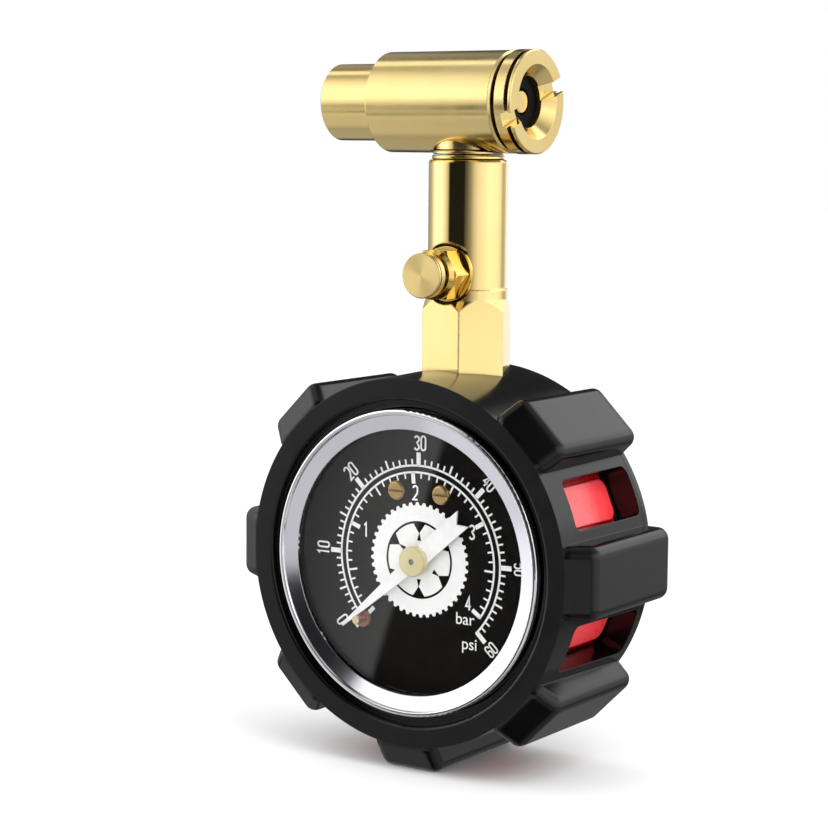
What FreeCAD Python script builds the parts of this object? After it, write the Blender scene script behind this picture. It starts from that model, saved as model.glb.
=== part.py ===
import FreeCAD, Part
import math
import os
import re

import Sketcher
from FreeCAD import Placement, Rotation, Vector

# Dial tyre pressure gauge with a rubber boot, a brass stem, a bleed button and a swivel chuck.
# Frame: the origin is the centre of the back face, +Y points out of the back, the dial faces -Y,
# +Z runs up the stem and +X is the way the chuck's mouth points at rest. Millimetres.

DIMENSIONS = {
    "boot": {
        "boot_depth": 27.2,
        "boot_radius": 30.0,
        "boot_rear": 30.7,
        "boot_inside": 26.5,
        "lip_radius": 26.5,
        "lip_depth": 1.5,
        "ledge_radius": 25.35,
        "ledge_depth": 2.8,
        "back_thick": 2.0,
        "parting_gap": 0.12,
        "register_radius": 26.4,
        "register_inside": 25.2,
        "register_depth": 3.0,
        "lug_radius": 34.3,
        "lug_root": 28.6,
        "lug_front_radius": 30.25,
        "lug_slope": 2.6,
        "lug_width": 11.8,
        "lug_count": 7,
        "lug_first_angle": 45.0,
        "lug_step": 45.0,
        "lug_round": 1.9,
        "rim_round": 0.5,
        "back_round": 0.8,
        "window_count": 6,
        "window_first_angle": 22.5,
        "window_front": 4.9,
        "window_length": 19.7,
        "window_width": 8.4,
        "window_round": 1.3,
    },
    "liner": {
        "liner_inside": 25.15,
        "liner_outside": 25.95,
        "liner_front": 24.3,
        "liner_back": 3.2,
        "pad_radius": 26.4,
        "pad_root": 25.6,
        "pad_front": 4.95,
        "pad_length": 19.0,
        "pad_width": 7.0,
        "pad_round": 1.8,
        "pad_edge_round": 0.3,
    },
    "case": {
        "case_radius": 24.4,
        "case_wall": 0.7,
        "case_back": 2.1,
        "case_rim": 24.0,
        "case_round": 1.2,
        "bezel_radius": 25.0,
        "bezel_skirt": 0.55,
        "bezel_tail": 21.8,
        "bezel_front": 27.35,
        "bezel_crest": 24.2,
        "bezel_crease": 24.05,
        "bezel_crease_depth": 27.0,
        "bezel_inner": 21.7,
        "bezel_inner_depth": 26.45,
        "bezel_round": 0.35,
        "lens_front": 26.0,
        "lens_thick": 1.1,
        "lens_radius": 24.2,
        "gasket_inside": 22.8,
        "gasket_thick": 0.85,
    },
    "dial": {
        "dial_front": 22.2,
        "dial_thick": 0.5,
        "dial_radius": 23.4,
        "dial_hole": 1.4,
        "screw_x": 4.3,
        "screw_z": 11.1,
        "screw_head": 1.6,
        "screw_head_high": 0.75,
        "screw_head_round": 0.4,
        "screw_shank": 1.0,
        "screw_length": 4.0,
        "screw_clear": 0.05,
        "screw_slot": 0.4,
        "screw_slot_deep": 0.35,
        "post_radius": 1.9,
        "stop_circle": 15.4,
        "stop_angle": 225.0,
        "stop_pin": 0.7,
        "stop_flange": 1.5,
        "stop_flange_high": 0.5,
        "stop_high": 2.4,
        "stop_tail": 0.8,
    },
    "pointer": {
        "pointer_rest": 220.5,
        "pointer_back": 23.2,
        "pointer_thick": 0.35,
        "pointer_tip": 18.9,
        "pointer_tip_half": 0.2,
        "pointer_root_half": 1.2,
        "pointer_root": 2.3,
        "pointer_tail": 12.0,
        "pointer_tail_half": 1.6,
        "pointer_notch": 10.4,
        "hub_radius": 2.5,
        "hub_front": 24.6,
        "hub_boss": 1.1,
        "hub_boss_high": 0.6,
        "hub_round": 0.3,
    },
    "movement": {
        "gear_module": 0.2,
        "pinion_teeth": 12,
        "sector_teeth": 90,
        "sector_cut_teeth": 13,
        "sector_direction": 225.0,
        "arbor_radius": 0.5,
        "bearing_clear": 0.05,
        "arbor_front": 24.5,
        "arbor_back": 14.95,
        "pinion_front": 19.1,
        "pinion_back": 17.0,
        "pinion_tip_high": 0.16,
        "pinion_root_deep": 0.25,
        "pinion_tip_half": 0.07,
        "pinion_root_half": 0.14,
        "sector_front": 18.4,
        "sector_back": 17.8,
        "sector_tip_high": 0.16,
        "sector_root_deep": 0.24,
        "sector_tip_half": 0.07,
        "sector_root_half": 0.2,
        "sector_hub": 1.3,
        "sector_hub_front": 18.9,
        "sector_hub_back": 17.2,
        "sector_arbor_front": 20.8,
        "sector_arbor_back": 14.95,
        "tail_arm": 3.3,
        "tail_rest": 162.0,
        "tail_half": 0.85,
        "rivet_radius": 0.4,
        "rivet_front": 18.6,
        "rivet_back": 16.9,
        "link_front": 17.4,
        "link_back": 17.0,
        "link_high": 7.2,
        "link_half": 0.6,
        "link_eye": 0.95,
        "link_pin_radius": 0.35,
        "link_pin_back": 16.0,
        "tip_hole": 0.55,
        "tip_eye": 1.1,
        "plate_thick": 0.6,
        "front_plate_front": 20.6,
        "back_plate_front": 15.4,
        "pillar_radius": 1.0,
        "movement_screw_head": 0.9,
        "movement_screw_high": 0.5,
        "mount_screw_head": 1.1,
        "mount_screw_high": 0.7,
        "mount_screw_shank": 0.7,
        "mount_screw_deep": 2.6,
        "spring_back": 19.5,
        "spring_high": 0.35,
        "spring_strip": 0.1,
        "spring_start": 0.85,
        "spring_pitch": 0.5,
        "spring_half_turns": 9,
        "collet_radius": 0.75,
        "stud_half": 0.35,
    },
    "tube": {
        "tube_radius": 15.5,
        "tube_half_thick": 0.9,
        "tube_half_width": 3.1,
        "tube_wall": 0.3,
        "tube_start_angle": 68.0,
        "tube_sweep": 248.0,
        "tip_block_high": 2.2,
        "tip_block_half": 1.35,
        "tip_block_wide": 3.5,
        "tip_arm_front": 16.8,
        "tip_arm_back": 16.2,
        "tip_arm_half": 0.8,
        "tip_post_wide": 1.5,
        "tip_gap": 0.02,
    },
    "socket": {
        "socket_half": 6.5,
        "socket_bottom": 4.6,
        "socket_top": 21.4,
        "socket_front": 14.8,
        "socket_back": 2.85,
        "shoulder_radius": 5.4,
        "shoulder_top": 27.0,
        "thread_radius": 4.8,
        "thread_top": 38.0,
        "port_radius": 1.5,
        "port_bottom": 12.0,
        "case_hole": 5.6,
        "washer_thick": 1.1,
        "washer_radius": 6.6,
    },
    "stem": {
        "stem_back": 9.1,
        "stem_radius": 6.5,
        "hex_bottom": 28.2,
        "hex_top": 43.6,
        "hex_flats": 13.45,
        "hex_turn": -7.0,
        "hex_chamfer_high": 3.7,
        "hex_corner": 7.85,
        "hex_shoulder": 6.75,
        "hex_shoulder_high": 1.75,
        "stem_top": 64.6,
        "stem_edge": 0.3,
        "spigot_radius": 3.4,
        "spigot_top": 70.0,
        "spigot_groove": 2.8,
        "seal_groove_low": 66.9,
        "seal_groove_high": 67.9,
        "ring_groove_low": 68.5,
        "ring_groove_high": 69.2,
        "stem_bore": 1.5,
        "thread_clear": 0.05,
        "boot_hole_flats": 13.65,
        "boot_hole_low": 24.0,
    },
    "bleeder": {
        "bleeder_z": 46.15,
        "spot_face": 14.6,
        "spot_radius": 5.0,
        "bleeder_washer": 4.7,
        "bleeder_washer_thick": 0.7,
        "collar_flats": 7.8,
        "collar_front": 19.1,
        "collar_flange": 4.05,
        "flange_front": 19.95,
        "flange_lip": 3.5,
        "bleeder_thread": 2.95,
        "bleeder_hole": 3.0,
        "bleeder_inner": 12.0,
        "chamber_radius": 2.5,
        "chamber_back": 9.6,
        "plunger_radius": 1.2,
        "plunger_bore": 1.27,
        "plunger_head": 1.9,
        "plunger_head_back": 11.0,
        "plunger_head_front": 11.5,
        "spring_well": 2.5,
        "spring_well_back": 16.4,
        "button_radius": 3.65,
        "button_front": 22.87,
        "button_back": 21.25,
        "button_groove": 3.4,
        "button_groove_front": 22.45,
        "button_groove_back": 22.25,
        "button_round": 0.15,
        "coil_radius": 1.85,
        "coil_wire": 0.22,
        "coil_turns": 5,
    },
    "chuck": {
        "chuck_z": 74.0,
        "chuck_radius": 8.3,
        "chuck_rear": 15.3,
        "chuck_front": 8.95,
        "chuck_edge": 0.35,
        "cap_radius": 6.4,
        "cap_rear": 25.6,
        "cap_edge": 0.3,
        "cap_thread": 5.5,
        "cap_thread_front": 11.0,
        "cap_bore": 2.7,
        "cap_bore_rear": 14.0,
        "check_seat": 4.0,
        "check_chamber": 3.3,
        "throat_radius": 1.7,
        "nut_seat_rear": 5.9,
        "nut_thread": 6.6,
        "nut_radius": 8.4,
        "nut_face": 13.06,
        "nut_edge": 0.2,
        "nut_groove_front": 12.5,
        "nut_groove_rear": 11.75,
        "nut_groove": 7.7,
        "nut_rear": 9.95,
        "nut_neck": 7.35,
        "mouth_radius": 6.0,
        "mouth_depth": 1.8,
        "valve_bore": 4.15,
        "seal_front": 10.15,
        "seal_pocket": 5.55,
        "slot_width": 2.5,
        "slot_depth": 2.0,
        "slot_tilt": 21.5,
        "seal_radius": 5.5,
        "seal_hole": 2.1,
        "seal_rear": 6.3,
        "pin_head": 1.85,
        "pin_front": 10.1,
        "pin_head_rear": 9.2,
        "pin_shank": 1.0,
        "pin_rear": 2.4,
        "poppet_front": 3.4,
        "poppet_rear": 1.9,
        "poppet_radius": 2.85,
        "poppet_spigot": 1.3,
        "poppet_spigot_rear": 1.5,
        "poppet_ring": 2.6,
        "poppet_ring_front": 3.95,
        "check_coil": 2.0,
        "check_wire": 0.3,
        "check_turns": 8,
        "boss_radius": 5.4,
        "boss_bottom": 66.15,
        "seat_radius": 6.4,
        "swivel_bore": 3.45,
        "swivel_top": 70.3,
        "keeper_groove": 3.95,
        "collar_ring": 5.85,
        "collar_low": 65.45,
        "collar_edge": 0.2,
        "washer_ring": 6.0,
        "washer_low": 64.62,
        "washer_high": 65.38,
        "keeper_inside": 2.95,
        "keeper_outside": 3.9,
        "ring_seal_inside": 2.85,
        "ring_seal_outside": 3.42,
    },
}

FUNCTIONS = ("cos", "sin", "tan", "sqrt")
# The movement's pillars and the screws that hold it to the socket, as (x, z).
PILLARS = [(-1.7, 6.2), (4.8, -4.2), (-8.6, -12.6)]
MOUNT_SCREWS = [(-4.6, 7.0), (1.6, 7.0)]
# The outline that both movement plates share, as (x, z).
PLATE_CORNERS = [(-6.4, 8.6), (3.4, 8.6), (6.8, -2.4), (6.4, -6.0), (-6.6, -14.6), (-10.6, -14.6), (-11.0, -9.0)]
FRONT = (0, -1, 0)

doc = FreeCAD.newDocument("tyre_pressure_gauge")
sheet = doc.addObject("Spreadsheet::Sheet", "dims")


def fill_sheet():
    row = 1
    for group, values in DIMENSIONS.items():
        sheet.set("A%d" % row, group)
        row += 1
        for name, value in values.items():
            sheet.set("A%d" % row, name)
            sheet.set("B%d" % row, str(value))
            sheet.setAlias("B%d" % row, name)
            row += 1
    doc.recompute()


def size(name):
    return float(sheet.get(name))


def formula(text):
    """The same expression, with every dimension's name pointing at its cell."""
    def cell(word):
        name = word.group(0)
        return name if name in FUNCTIONS else "dims." + name
    return re.sub(r"[a-z][a-z_]*", cell, text)


def bind(thing, path, text):
    thing.setExpression(path, formula(text))


def new_body(label, x="0", y="0", z="0"):
    body = doc.addObject("PartDesign::Body", label)
    for axis, text in (("x", x), ("y", y), ("z", z)):
        if text != "0":
            bind(body, "Placement.Base." + axis, text)
    return body


def new_sketch(body, role, offset):
    sketch = body.newObject("Sketcher::SketchObject", body.Label + "_sketch")
    plane = [item for item in body.Origin.OriginFeatures if item.Role == role][0]
    sketch.AttachmentSupport = [(plane, "")]
    sketch.MapMode = "FlatFace"
    if offset is not None:
        sketch.AttachmentOffset = offset
    return sketch


def pin_point(sketch, geometry, point, x, y, guess):
    """Hold one point of a sketch at (x, y), both bound to the sheet."""
    for kind, text, value in (("DistanceX", x, guess.x), ("DistanceY", y, guess.y)):
        number = sketch.addConstraint(Sketcher.Constraint(kind, -1, 1, geometry, point, value))
        bind(sketch, "Constraints[%d]" % number, text)


def outline(body, role, corners, offset=None):
    """A closed outline of straight sides, every corner bound to the sheet."""
    sketch = new_sketch(body, role, offset)
    count = len(corners)
    turns = [2 * math.pi * index / count for index in range(count)]
    guesses = [Vector(20 + 9 * math.cos(turn), 9 * math.sin(turn), 0) for turn in turns]
    for index in range(count):
        side = Part.LineSegment(guesses[index], guesses[(index + 1) % count])
        sketch.addGeometry(side, False)
    for index in range(count):
        sketch.addConstraint(Sketcher.Constraint("Coincident", index, 2, (index + 1) % count, 1))
    for index, (x, y) in enumerate(corners):
        pin_point(sketch, index, 1, x, y, guesses[index])
    return sketch


def circles(body, role, rounds, offset=None):
    """A sketch of circles, each given as (x, y, radius)."""
    sketch = new_sketch(body, role, offset)
    for index, (x, y, radius) in enumerate(rounds):
        guess = Vector(5.0 + 3 * index, 5.0, 0)
        sketch.addGeometry(Part.Circle(guess, Vector(0, 0, 1), 1.0), False)
        pin_point(sketch, index, 3, x, y, guess)
        number = sketch.addConstraint(Sketcher.Constraint("Radius", index, 1.0))
        bind(sketch, "Constraints[%d]" % number, radius)
    return sketch


def turned(body, corners, about="V_Axis", cut=False, sweep="360", offset=None):
    """Turn a profile on the XY plane about Y (V_Axis) or about X (H_Axis)."""
    sketch = outline(body, "XY_Plane", corners, offset)
    kind = "PartDesign::Groove" if cut else "PartDesign::Revolution"
    feature = body.newObject(kind, body.Label + "_turned")
    feature.Profile = sketch
    feature.ReferenceAxis = (sketch, [about])
    bind(feature, "Angle", sweep)
    return feature


def raised(body, sketch, length, both_ways=False, cut=False, reverse=False):
    """Pad a sketch, or pocket it, by a bound length."""
    kind = "PartDesign::Pocket" if cut else "PartDesign::Pad"
    feature = body.newObject(kind, body.Label + "_raised")
    feature.Profile = sketch
    if both_ways:
        feature.SideType = "Symmetric"
    bind(feature, "Length", length)
    feature.Reversed = reverse
    return feature


def patterned(body, feature, count, angle, reverse=True):
    """Copies of a feature about the body's own Y, stepping from +X towards +Z when reversed."""
    pattern = body.newObject("PartDesign::PolarPattern", body.Label + "_pattern")
    pattern.Originals = [feature]
    pattern.Axis = ([item for item in body.Origin.OriginFeatures if item.Role == "Y_Axis"][0], [""])
    bind(pattern, "Occurrences", count)
    bind(pattern, "Angle", angle)
    pattern.Reversed = reverse
    body.Tip = pattern
    return pattern


def dress_edges(body, radius, wanted, kind="PartDesign::Fillet"):
    """Round, or chamfer, every edge of the body so far for which wanted(edge) holds."""
    doc.recompute()
    base = body.Tip
    names = ["Edge%d" % (index + 1) for index, edge in enumerate(base.Shape.Edges) if wanted(edge)]
    feature = body.newObject(kind, body.Label + "_dressed")
    feature.Base = (base, names)
    bind(feature, "Radius" if kind == "PartDesign::Fillet" else "Size", radius)
    return feature


def ring_edge(radius, axis, place):
    """A test for the circular edge of this radius whose centre is at place along an axis."""
    def wanted(edge):
        points = [edge.valueAt(edge.FirstParameter + (edge.LastParameter - edge.FirstParameter) * share)
                  for share in (0.0, 0.21, 0.47, 0.83)]
        level = all(abs(point[axis] - place) < 1e-3 for point in points)
        reach = [math.hypot(point[axis - 1], point[axis - 2]) for point in points]
        return level and all(abs(value - radius) < 1e-3 for value in reach)
    return wanted


def straight(edge):
    """Whether the middle of an edge lies on the line between its ends."""
    first, last = edge.Vertexes[0].Point, edge.Vertexes[-1].Point
    middle = edge.valueAt((edge.FirstParameter + edge.LastParameter) / 2)
    return (first + last).multiply(0.5).distanceToPoint(middle) < 1e-4


def about_dial(angle, lift=0.0):
    """An offset that turns a plane about the dial's axis, counted from +X towards +Z."""
    turn = Rotation(Vector(0, 1, 0), -angle)
    return Placement(turn.multVec(Vector(0, 0, lift)), turn)


def facing_front(lift, angle=0.0):
    """An offset on the XZ plane: this far in front of the back face, turned on the spot."""
    return Placement(Vector(0, 0, lift), Rotation(Vector(0, 0, 1), angle))


def group(label, pieces):
    """Several separate solids that share one node."""
    compound = doc.addObject("Part::Compound", label)
    compound.Links = pieces
    return compound


def primitive(kind, label, sizes, x="0", y="0", z="0", axis=None):
    """A Part primitive with bound sizes. An axis turns its own +Z onto that direction."""
    item = doc.addObject("Part::" + kind, label)
    if axis is not None:
        item.Placement = Placement(Vector(), Rotation(Vector(0, 0, 1), Vector(*axis)))
    for name, text in sizes.items():
        bind(item, name, text)
    for letter, text in (("x", x), ("y", y), ("z", z)):
        if text != "0":
            bind(item, "Placement.Base." + letter, text)
    return item


def fused(label, shapes):
    item = doc.addObject("Part::MultiFuse", label)
    item.Shapes = shapes
    item.Refine = True
    return item


def cut_away(label, base, tool):
    item = doc.addObject("Part::Cut", label)
    item.Base = base
    item.Tool = tool
    item.Refine = True
    return item


# ---------------------------------------------------------------- rubber boot

def make_lug(angle, corners, seam):
    """One grip lug's share of a cover, with its edges rounded except at the root and at the seam's height."""
    body = new_body("boot_lug")
    sketch = outline(body, "XY_Plane", corners, about_dial(angle))
    raised(body, sketch, "lug_width", both_ways=True)
    turn = math.radians(angle)

    def outer_edge(edge):
        reach = [vertex.X * math.cos(turn) + vertex.Z * math.sin(turn) for vertex in edge.Vertexes]
        at_seam = all(abs(vertex.Y - seam) < 0.01 for vertex in edge.Vertexes)
        at_root = all(value < size("lug_root") + 0.01 for value in reach)
        return not at_seam and not at_root
    dress_edges(body, "lug_round", outer_edge)
    return body


def lug_angles():
    return [size("lug_first_angle") - size("lug_step") * index for index in range(int(size("lug_count")))]


def boot_hole(body, offset=None):
    """A sketch of the six-sided hole that hugs the stem's hexagon."""
    reach = "boot_hole_flats / sqrt(3)"
    turns = ["(%d + hex_turn)" % (60 * index) for index in range(6)]
    corners = [(reach + " * cos" + turn, "-stem_back + " + reach + " * sin" + turn) for turn in turns]
    return outline(body, "XY_Plane", corners, offset)


def make_front_cover():
    body = new_body("boot_wall")
    parting = "(back_thick + parting_gap)"
    turned(body, [
        ("lip_radius", "-boot_depth"), ("boot_radius", "-boot_depth"), ("boot_rear", "-" + parting),
        ("boot_inside", "-" + parting), ("boot_inside", "-boot_depth + ledge_depth"),
        ("ledge_radius", "-boot_depth + ledge_depth"), ("ledge_radius", "-boot_depth + lip_depth"),
        ("lip_radius", "-boot_depth + lip_depth")])
    dress_edges(body, "rim_round", ring_edge(size("lip_radius"), 1, -size("boot_depth")))
    window_front = "-boot_depth + window_front"
    window_back = "-boot_depth + window_front + window_length"
    sketch = outline(body, "YZ_Plane", [
        (window_front, "-window_width / 2"), (window_back, "-window_width / 2"),
        (window_back, "window_width / 2"), (window_front, "window_width / 2")],
        Placement(Vector(), Rotation(Vector(1, 0, 0), -size("window_first_angle"))))
    window = raised(body, sketch, "lug_radius", cut=True, reverse=True)
    patterned(body, window, "window_count", "lug_step * (window_count - 1)", reverse=False)
    ends = [size("window_front") - size("boot_depth")]
    ends.append(ends[0] + size("window_length"))

    def window_corner(edge):
        first, last = [vertex.Point for vertex in (edge.Vertexes[0], edge.Vertexes[-1])]
        level = abs(first.y - last.y) < 1e-4 and min(abs(first.y - end) for end in ends) < 1e-3
        return level and straight(edge)
    dress_edges(body, "window_round", window_corner)
    raised(body, boot_hole(body), "lug_radius", cut=True, reverse=True)
    lug = [("lug_root", "-boot_depth"), ("lug_front_radius", "-boot_depth"),
           ("lug_radius", "-boot_depth + lug_slope"), ("lug_radius", "-" + parting), ("lug_root", "-" + parting)]
    seam = -size("back_thick") - size("parting_gap")
    return fused("front_cover", [body] + [make_lug(angle, lug, seam) for angle in lug_angles()])


def make_back_cover():
    body = new_body("back_cover")
    turned(body, [
        ("0", "0"), ("boot_rear", "0"), ("boot_rear", "-back_thick"), ("register_radius", "-back_thick"),
        ("register_radius", "-register_depth"), ("register_inside", "-register_depth"),
        ("register_inside", "-back_thick"), ("0", "-back_thick")])
    dress_edges(body, "back_round", ring_edge(size("boot_rear"), 1, 0))
    hole = boot_hole(body, Placement(Vector(0, 0, size("boot_hole_low")), Rotation()))
    raised(body, hole, "lug_radius - boot_hole_low", cut=True, reverse=True)
    lug = [("lug_root", "-back_thick"), ("lug_radius", "-back_thick"), ("lug_radius", "0"), ("lug_root", "0")]
    return fused("back_cover", [body] + [make_lug(angle, lug, -size("back_thick")) for angle in lug_angles()])


def make_liner_ring():
    body = new_body("liner_ring")
    turned(body, [
        ("liner_inside", "-liner_front"), ("liner_outside", "-liner_front"),
        ("liner_outside", "-liner_back"), ("liner_inside", "-liner_back")])
    pad_front = "-boot_depth + pad_front"
    pad_back = "-boot_depth + pad_front + pad_length"
    turn = Rotation(Vector(1, 0, 0), -size("window_first_angle"))
    sketch = outline(body, "YZ_Plane", [
        (pad_front, "-pad_width / 2"), (pad_back, "-pad_width / 2"),
        (pad_back, "pad_width / 2"), (pad_front, "pad_width / 2")],
        Placement(turn.multVec(Vector(0, 0, size("pad_root"))), turn))
    pad = raised(body, sketch, "pad_radius - pad_root")
    patterned(body, pad, "window_count", "lug_step * (window_count - 1)", reverse=False)
    ends = [size("pad_front") - size("boot_depth")]
    ends.append(ends[0] + size("pad_length"))

    def pad_corner(edge):
        first, last = [vertex.Point for vertex in (edge.Vertexes[0], edge.Vertexes[-1])]
        level = abs(first.y - last.y) < 1e-4 and min(abs(first.y - end) for end in ends) < 1e-3
        rises = abs(math.hypot(first.x, first.z) - math.hypot(last.x, last.z)) > 0.5
        return level and rises
    dress_edges(body, "pad_round", pad_corner)

    def pad_top(edge):
        return all(math.hypot(vertex.X, vertex.Z) > size("pad_radius") - 1e-3 for vertex in edge.Vertexes)
    dress_edges(body, "pad_edge_round", pad_top)
    stem = circles(body, "XY_Plane", [("0", "-stem_back", "washer_radius + 0.4")])
    raised(body, stem, "lug_radius", cut=True, reverse=True)
    return body


# ---------------------------------------------------------------- case, bezel and lens

def make_gauge_case():
    body = new_body("gauge_case")
    turned(body, [
        ("0", "-case_back"), ("case_radius", "-case_back"), ("case_radius", "-case_rim"),
        ("case_radius - case_wall", "-case_rim"), ("case_radius - case_wall", "-case_back - case_wall"),
        ("0", "-case_back - case_wall")])
    dress_edges(body, "case_round", ring_edge(size("case_radius"), 1, -size("case_back")))
    hole = circles(body, "XY_Plane", [("0", "-stem_back", "case_hole")])
    raised(body, hole, "lug_radius", cut=True, reverse=True)
    return body


def make_bezel_ring():
    body = new_body("bezel_ring")
    skirt = "bezel_radius - bezel_skirt"
    turned(body, [
        ("bezel_radius", "-bezel_tail"), ("bezel_radius", "-bezel_front"), ("bezel_crest", "-bezel_front"),
        ("bezel_crease", "-bezel_crease_depth"), ("bezel_inner", "-bezel_inner_depth"),
        ("bezel_inner", "-lens_front"), (skirt, "-lens_front"), (skirt, "-bezel_tail")])
    dress_edges(body, "bezel_round", ring_edge(size("bezel_radius"), 1, -size("bezel_front")))
    dress_edges(body, "bezel_round / 2", ring_edge(size("bezel_crest"), 1, -size("bezel_front")))
    return body


def make_lens():
    body = new_body("lens")
    back = "-lens_front + lens_thick"
    turned(body, [("0", "-lens_front"), ("lens_radius", "-lens_front"), ("lens_radius", back), ("0", back)])
    return body


def make_lens_gasket():
    body = new_body("lens_gasket")
    front = "-lens_front + lens_thick"
    back = front + " + gasket_thick"
    turned(body, [("gasket_inside", front), ("lens_radius", front), ("lens_radius", back), ("gasket_inside", back)])
    return body


# ---------------------------------------------------------------- dial and its fixings

def stop_place(axis):
    word = "cos" if axis == "x" else "sin"
    return f"stop_circle * {word}(stop_angle)"


def make_dial_plate():
    body = new_body("dial_plate")
    holes = [("0", "0", "dial_hole"), (stop_place("x"), stop_place("z"), "stop_pin")]
    for side in ("-", ""):
        holes.append((side + "screw_x", "screw_z", "screw_shank + screw_clear"))
    sketch = circles(body, "XZ_Plane", [("0", "0", "dial_radius")] + holes,
                     facing_front(size("dial_front") - size("dial_thick")))
    raised(body, sketch, "dial_thick")
    return body


def make_dial_screws():
    screws = []
    for side in ("-", ""):
        body = new_body("dial_screw", x=side + "screw_x", z="screw_z")
        tip = "-dial_front + screw_length"
        head = "-dial_front - screw_head_high"
        turned(body, [("0", head), ("screw_head", head), ("screw_head", "-dial_front"),
                      ("screw_shank", "-dial_front"), ("screw_shank", tip), ("0", tip)])
        top = -size("dial_front") - size("screw_head_high")
        dress_edges(body, "screw_head_round", ring_edge(size("screw_head"), 1, top))
        sketch = outline(body, "XZ_Plane", [
            ("-screw_head * 1.1", "-screw_slot / 2"), ("screw_head * 1.1", "-screw_slot / 2"),
            ("screw_head * 1.1", "screw_slot / 2"), ("-screw_head * 1.1", "screw_slot / 2")],
            facing_front(-top))
        raised(body, sketch, "screw_slot_deep", cut=True)
        screws.append(body)
    return group("dial_screws", screws)


def make_dial_posts():
    posts = []
    for side in ("-", ""):
        body = new_body("dial_post", x=side + "screw_x", z="screw_z")
        front = "-dial_front + dial_thick"
        well = "-dial_front + screw_length + 0.3"
        bore = "screw_shank + screw_clear"
        turned(body, [(bore, front), ("post_radius", front), ("post_radius", "-socket_front"),
                      ("0", "-socket_front"), ("0", well), (bore, well)])
        posts.append(body)
    return group("dial_posts", posts)


def make_stop_pin():
    body = new_body("stop_pin", x=stop_place("x"), z=stop_place("z"))
    flange = "-dial_front - stop_flange_high"
    front = "-dial_front - stop_high"
    tail = "-dial_front + stop_tail"
    turned(body, [("0", front), ("stop_pin", front), ("stop_pin", flange), ("stop_flange", flange),
                  ("stop_flange", "-dial_front"), ("stop_pin", "-dial_front"), ("stop_pin", tail), ("0", tail)])
    dress_edges(body, "stop_pin / 5", ring_edge(size("stop_flange"), 1, -size("dial_front") - size("stop_flange_high")))
    return body


# ---------------------------------------------------------------- pointer group

def make_pointer():
    body = new_body("pointer")
    sketch = outline(body, "XZ_Plane", [
        ("pointer_tip", "-pointer_tip_half"), ("pointer_tip", "pointer_tip_half"),
        ("pointer_root", "pointer_root_half"), ("0", "pointer_tail_half"), ("-pointer_tail", "pointer_tail_half"),
        ("-pointer_notch", "0"), ("-pointer_tail", "-pointer_tail_half"), ("0", "-pointer_tail_half"),
        ("pointer_root", "-pointer_root_half")],
        facing_front(size("pointer_back"), size("pointer_rest")))
    raised(body, sketch, "pointer_thick")
    hole = circles(body, "XZ_Plane", [("0", "0", "hub_boss")], facing_front(size("pointer_back") + 1))
    raised(body, hole, "2", cut=True)
    return body


def make_pointer_hub():
    body = new_body("pointer_hub")
    face = "-pointer_back - pointer_thick"
    back = "-pointer_back + hub_boss_high"
    turned(body, [("arbor_radius", "-hub_front"), ("hub_radius", "-hub_front"), ("hub_radius", face),
                  ("hub_boss", face), ("hub_boss", back), ("arbor_radius", back)])
    dress_edges(body, "hub_round", ring_edge(size("hub_radius"), 1, -size("hub_front")))
    return body


def add_teeth(body, root, tip, root_half, tip_half, lift, high, first, count, angle):
    """Straight-sided teeth, from the first tooth's angle round by the stated angle."""
    sketch = outline(body, "XZ_Plane", [
        (root + " - 0.15", "-" + root_half), (tip, "-" + tip_half), (tip, tip_half), (root + " - 0.15", root_half)],
        facing_front(lift, first))
    tooth = raised(body, sketch, high)
    return patterned(body, tooth, count, angle)


def make_pinion_arbor():
    body = new_body("pinion_arbor")
    pitch = "gear_module * pinion_teeth / 2"
    root = pitch + " - pinion_root_deep"
    turned(body, [
        ("0", "-arbor_front"), ("arbor_radius", "-arbor_front"), ("arbor_radius", "-spring_back - spring_high"),
        ("collet_radius", "-spring_back - spring_high"), ("collet_radius", "-spring_back"),
        ("arbor_radius", "-spring_back"), ("arbor_radius", "-pinion_front"), (root, "-pinion_front"),
        (root, "-pinion_back"), ("arbor_radius", "-pinion_back"), ("arbor_radius", "-arbor_back"), ("0", "-arbor_back")])
    half_space = 180.0 / size("pinion_teeth")
    first = size("sector_direction") + half_space
    add_teeth(body, root, pitch + " + pinion_tip_high", "pinion_root_half", "pinion_tip_half",
              size("pinion_back"), "pinion_front - pinion_back", first, "pinion_teeth", "360")
    return body


# ---------------------------------------------------------------- sector, link and Bourdon tube

def sector_place(axis):
    word = "cos" if axis == "x" else "sin"
    return f"gear_module * (pinion_teeth + sector_teeth) / 2 * {word}(sector_direction)"


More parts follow.
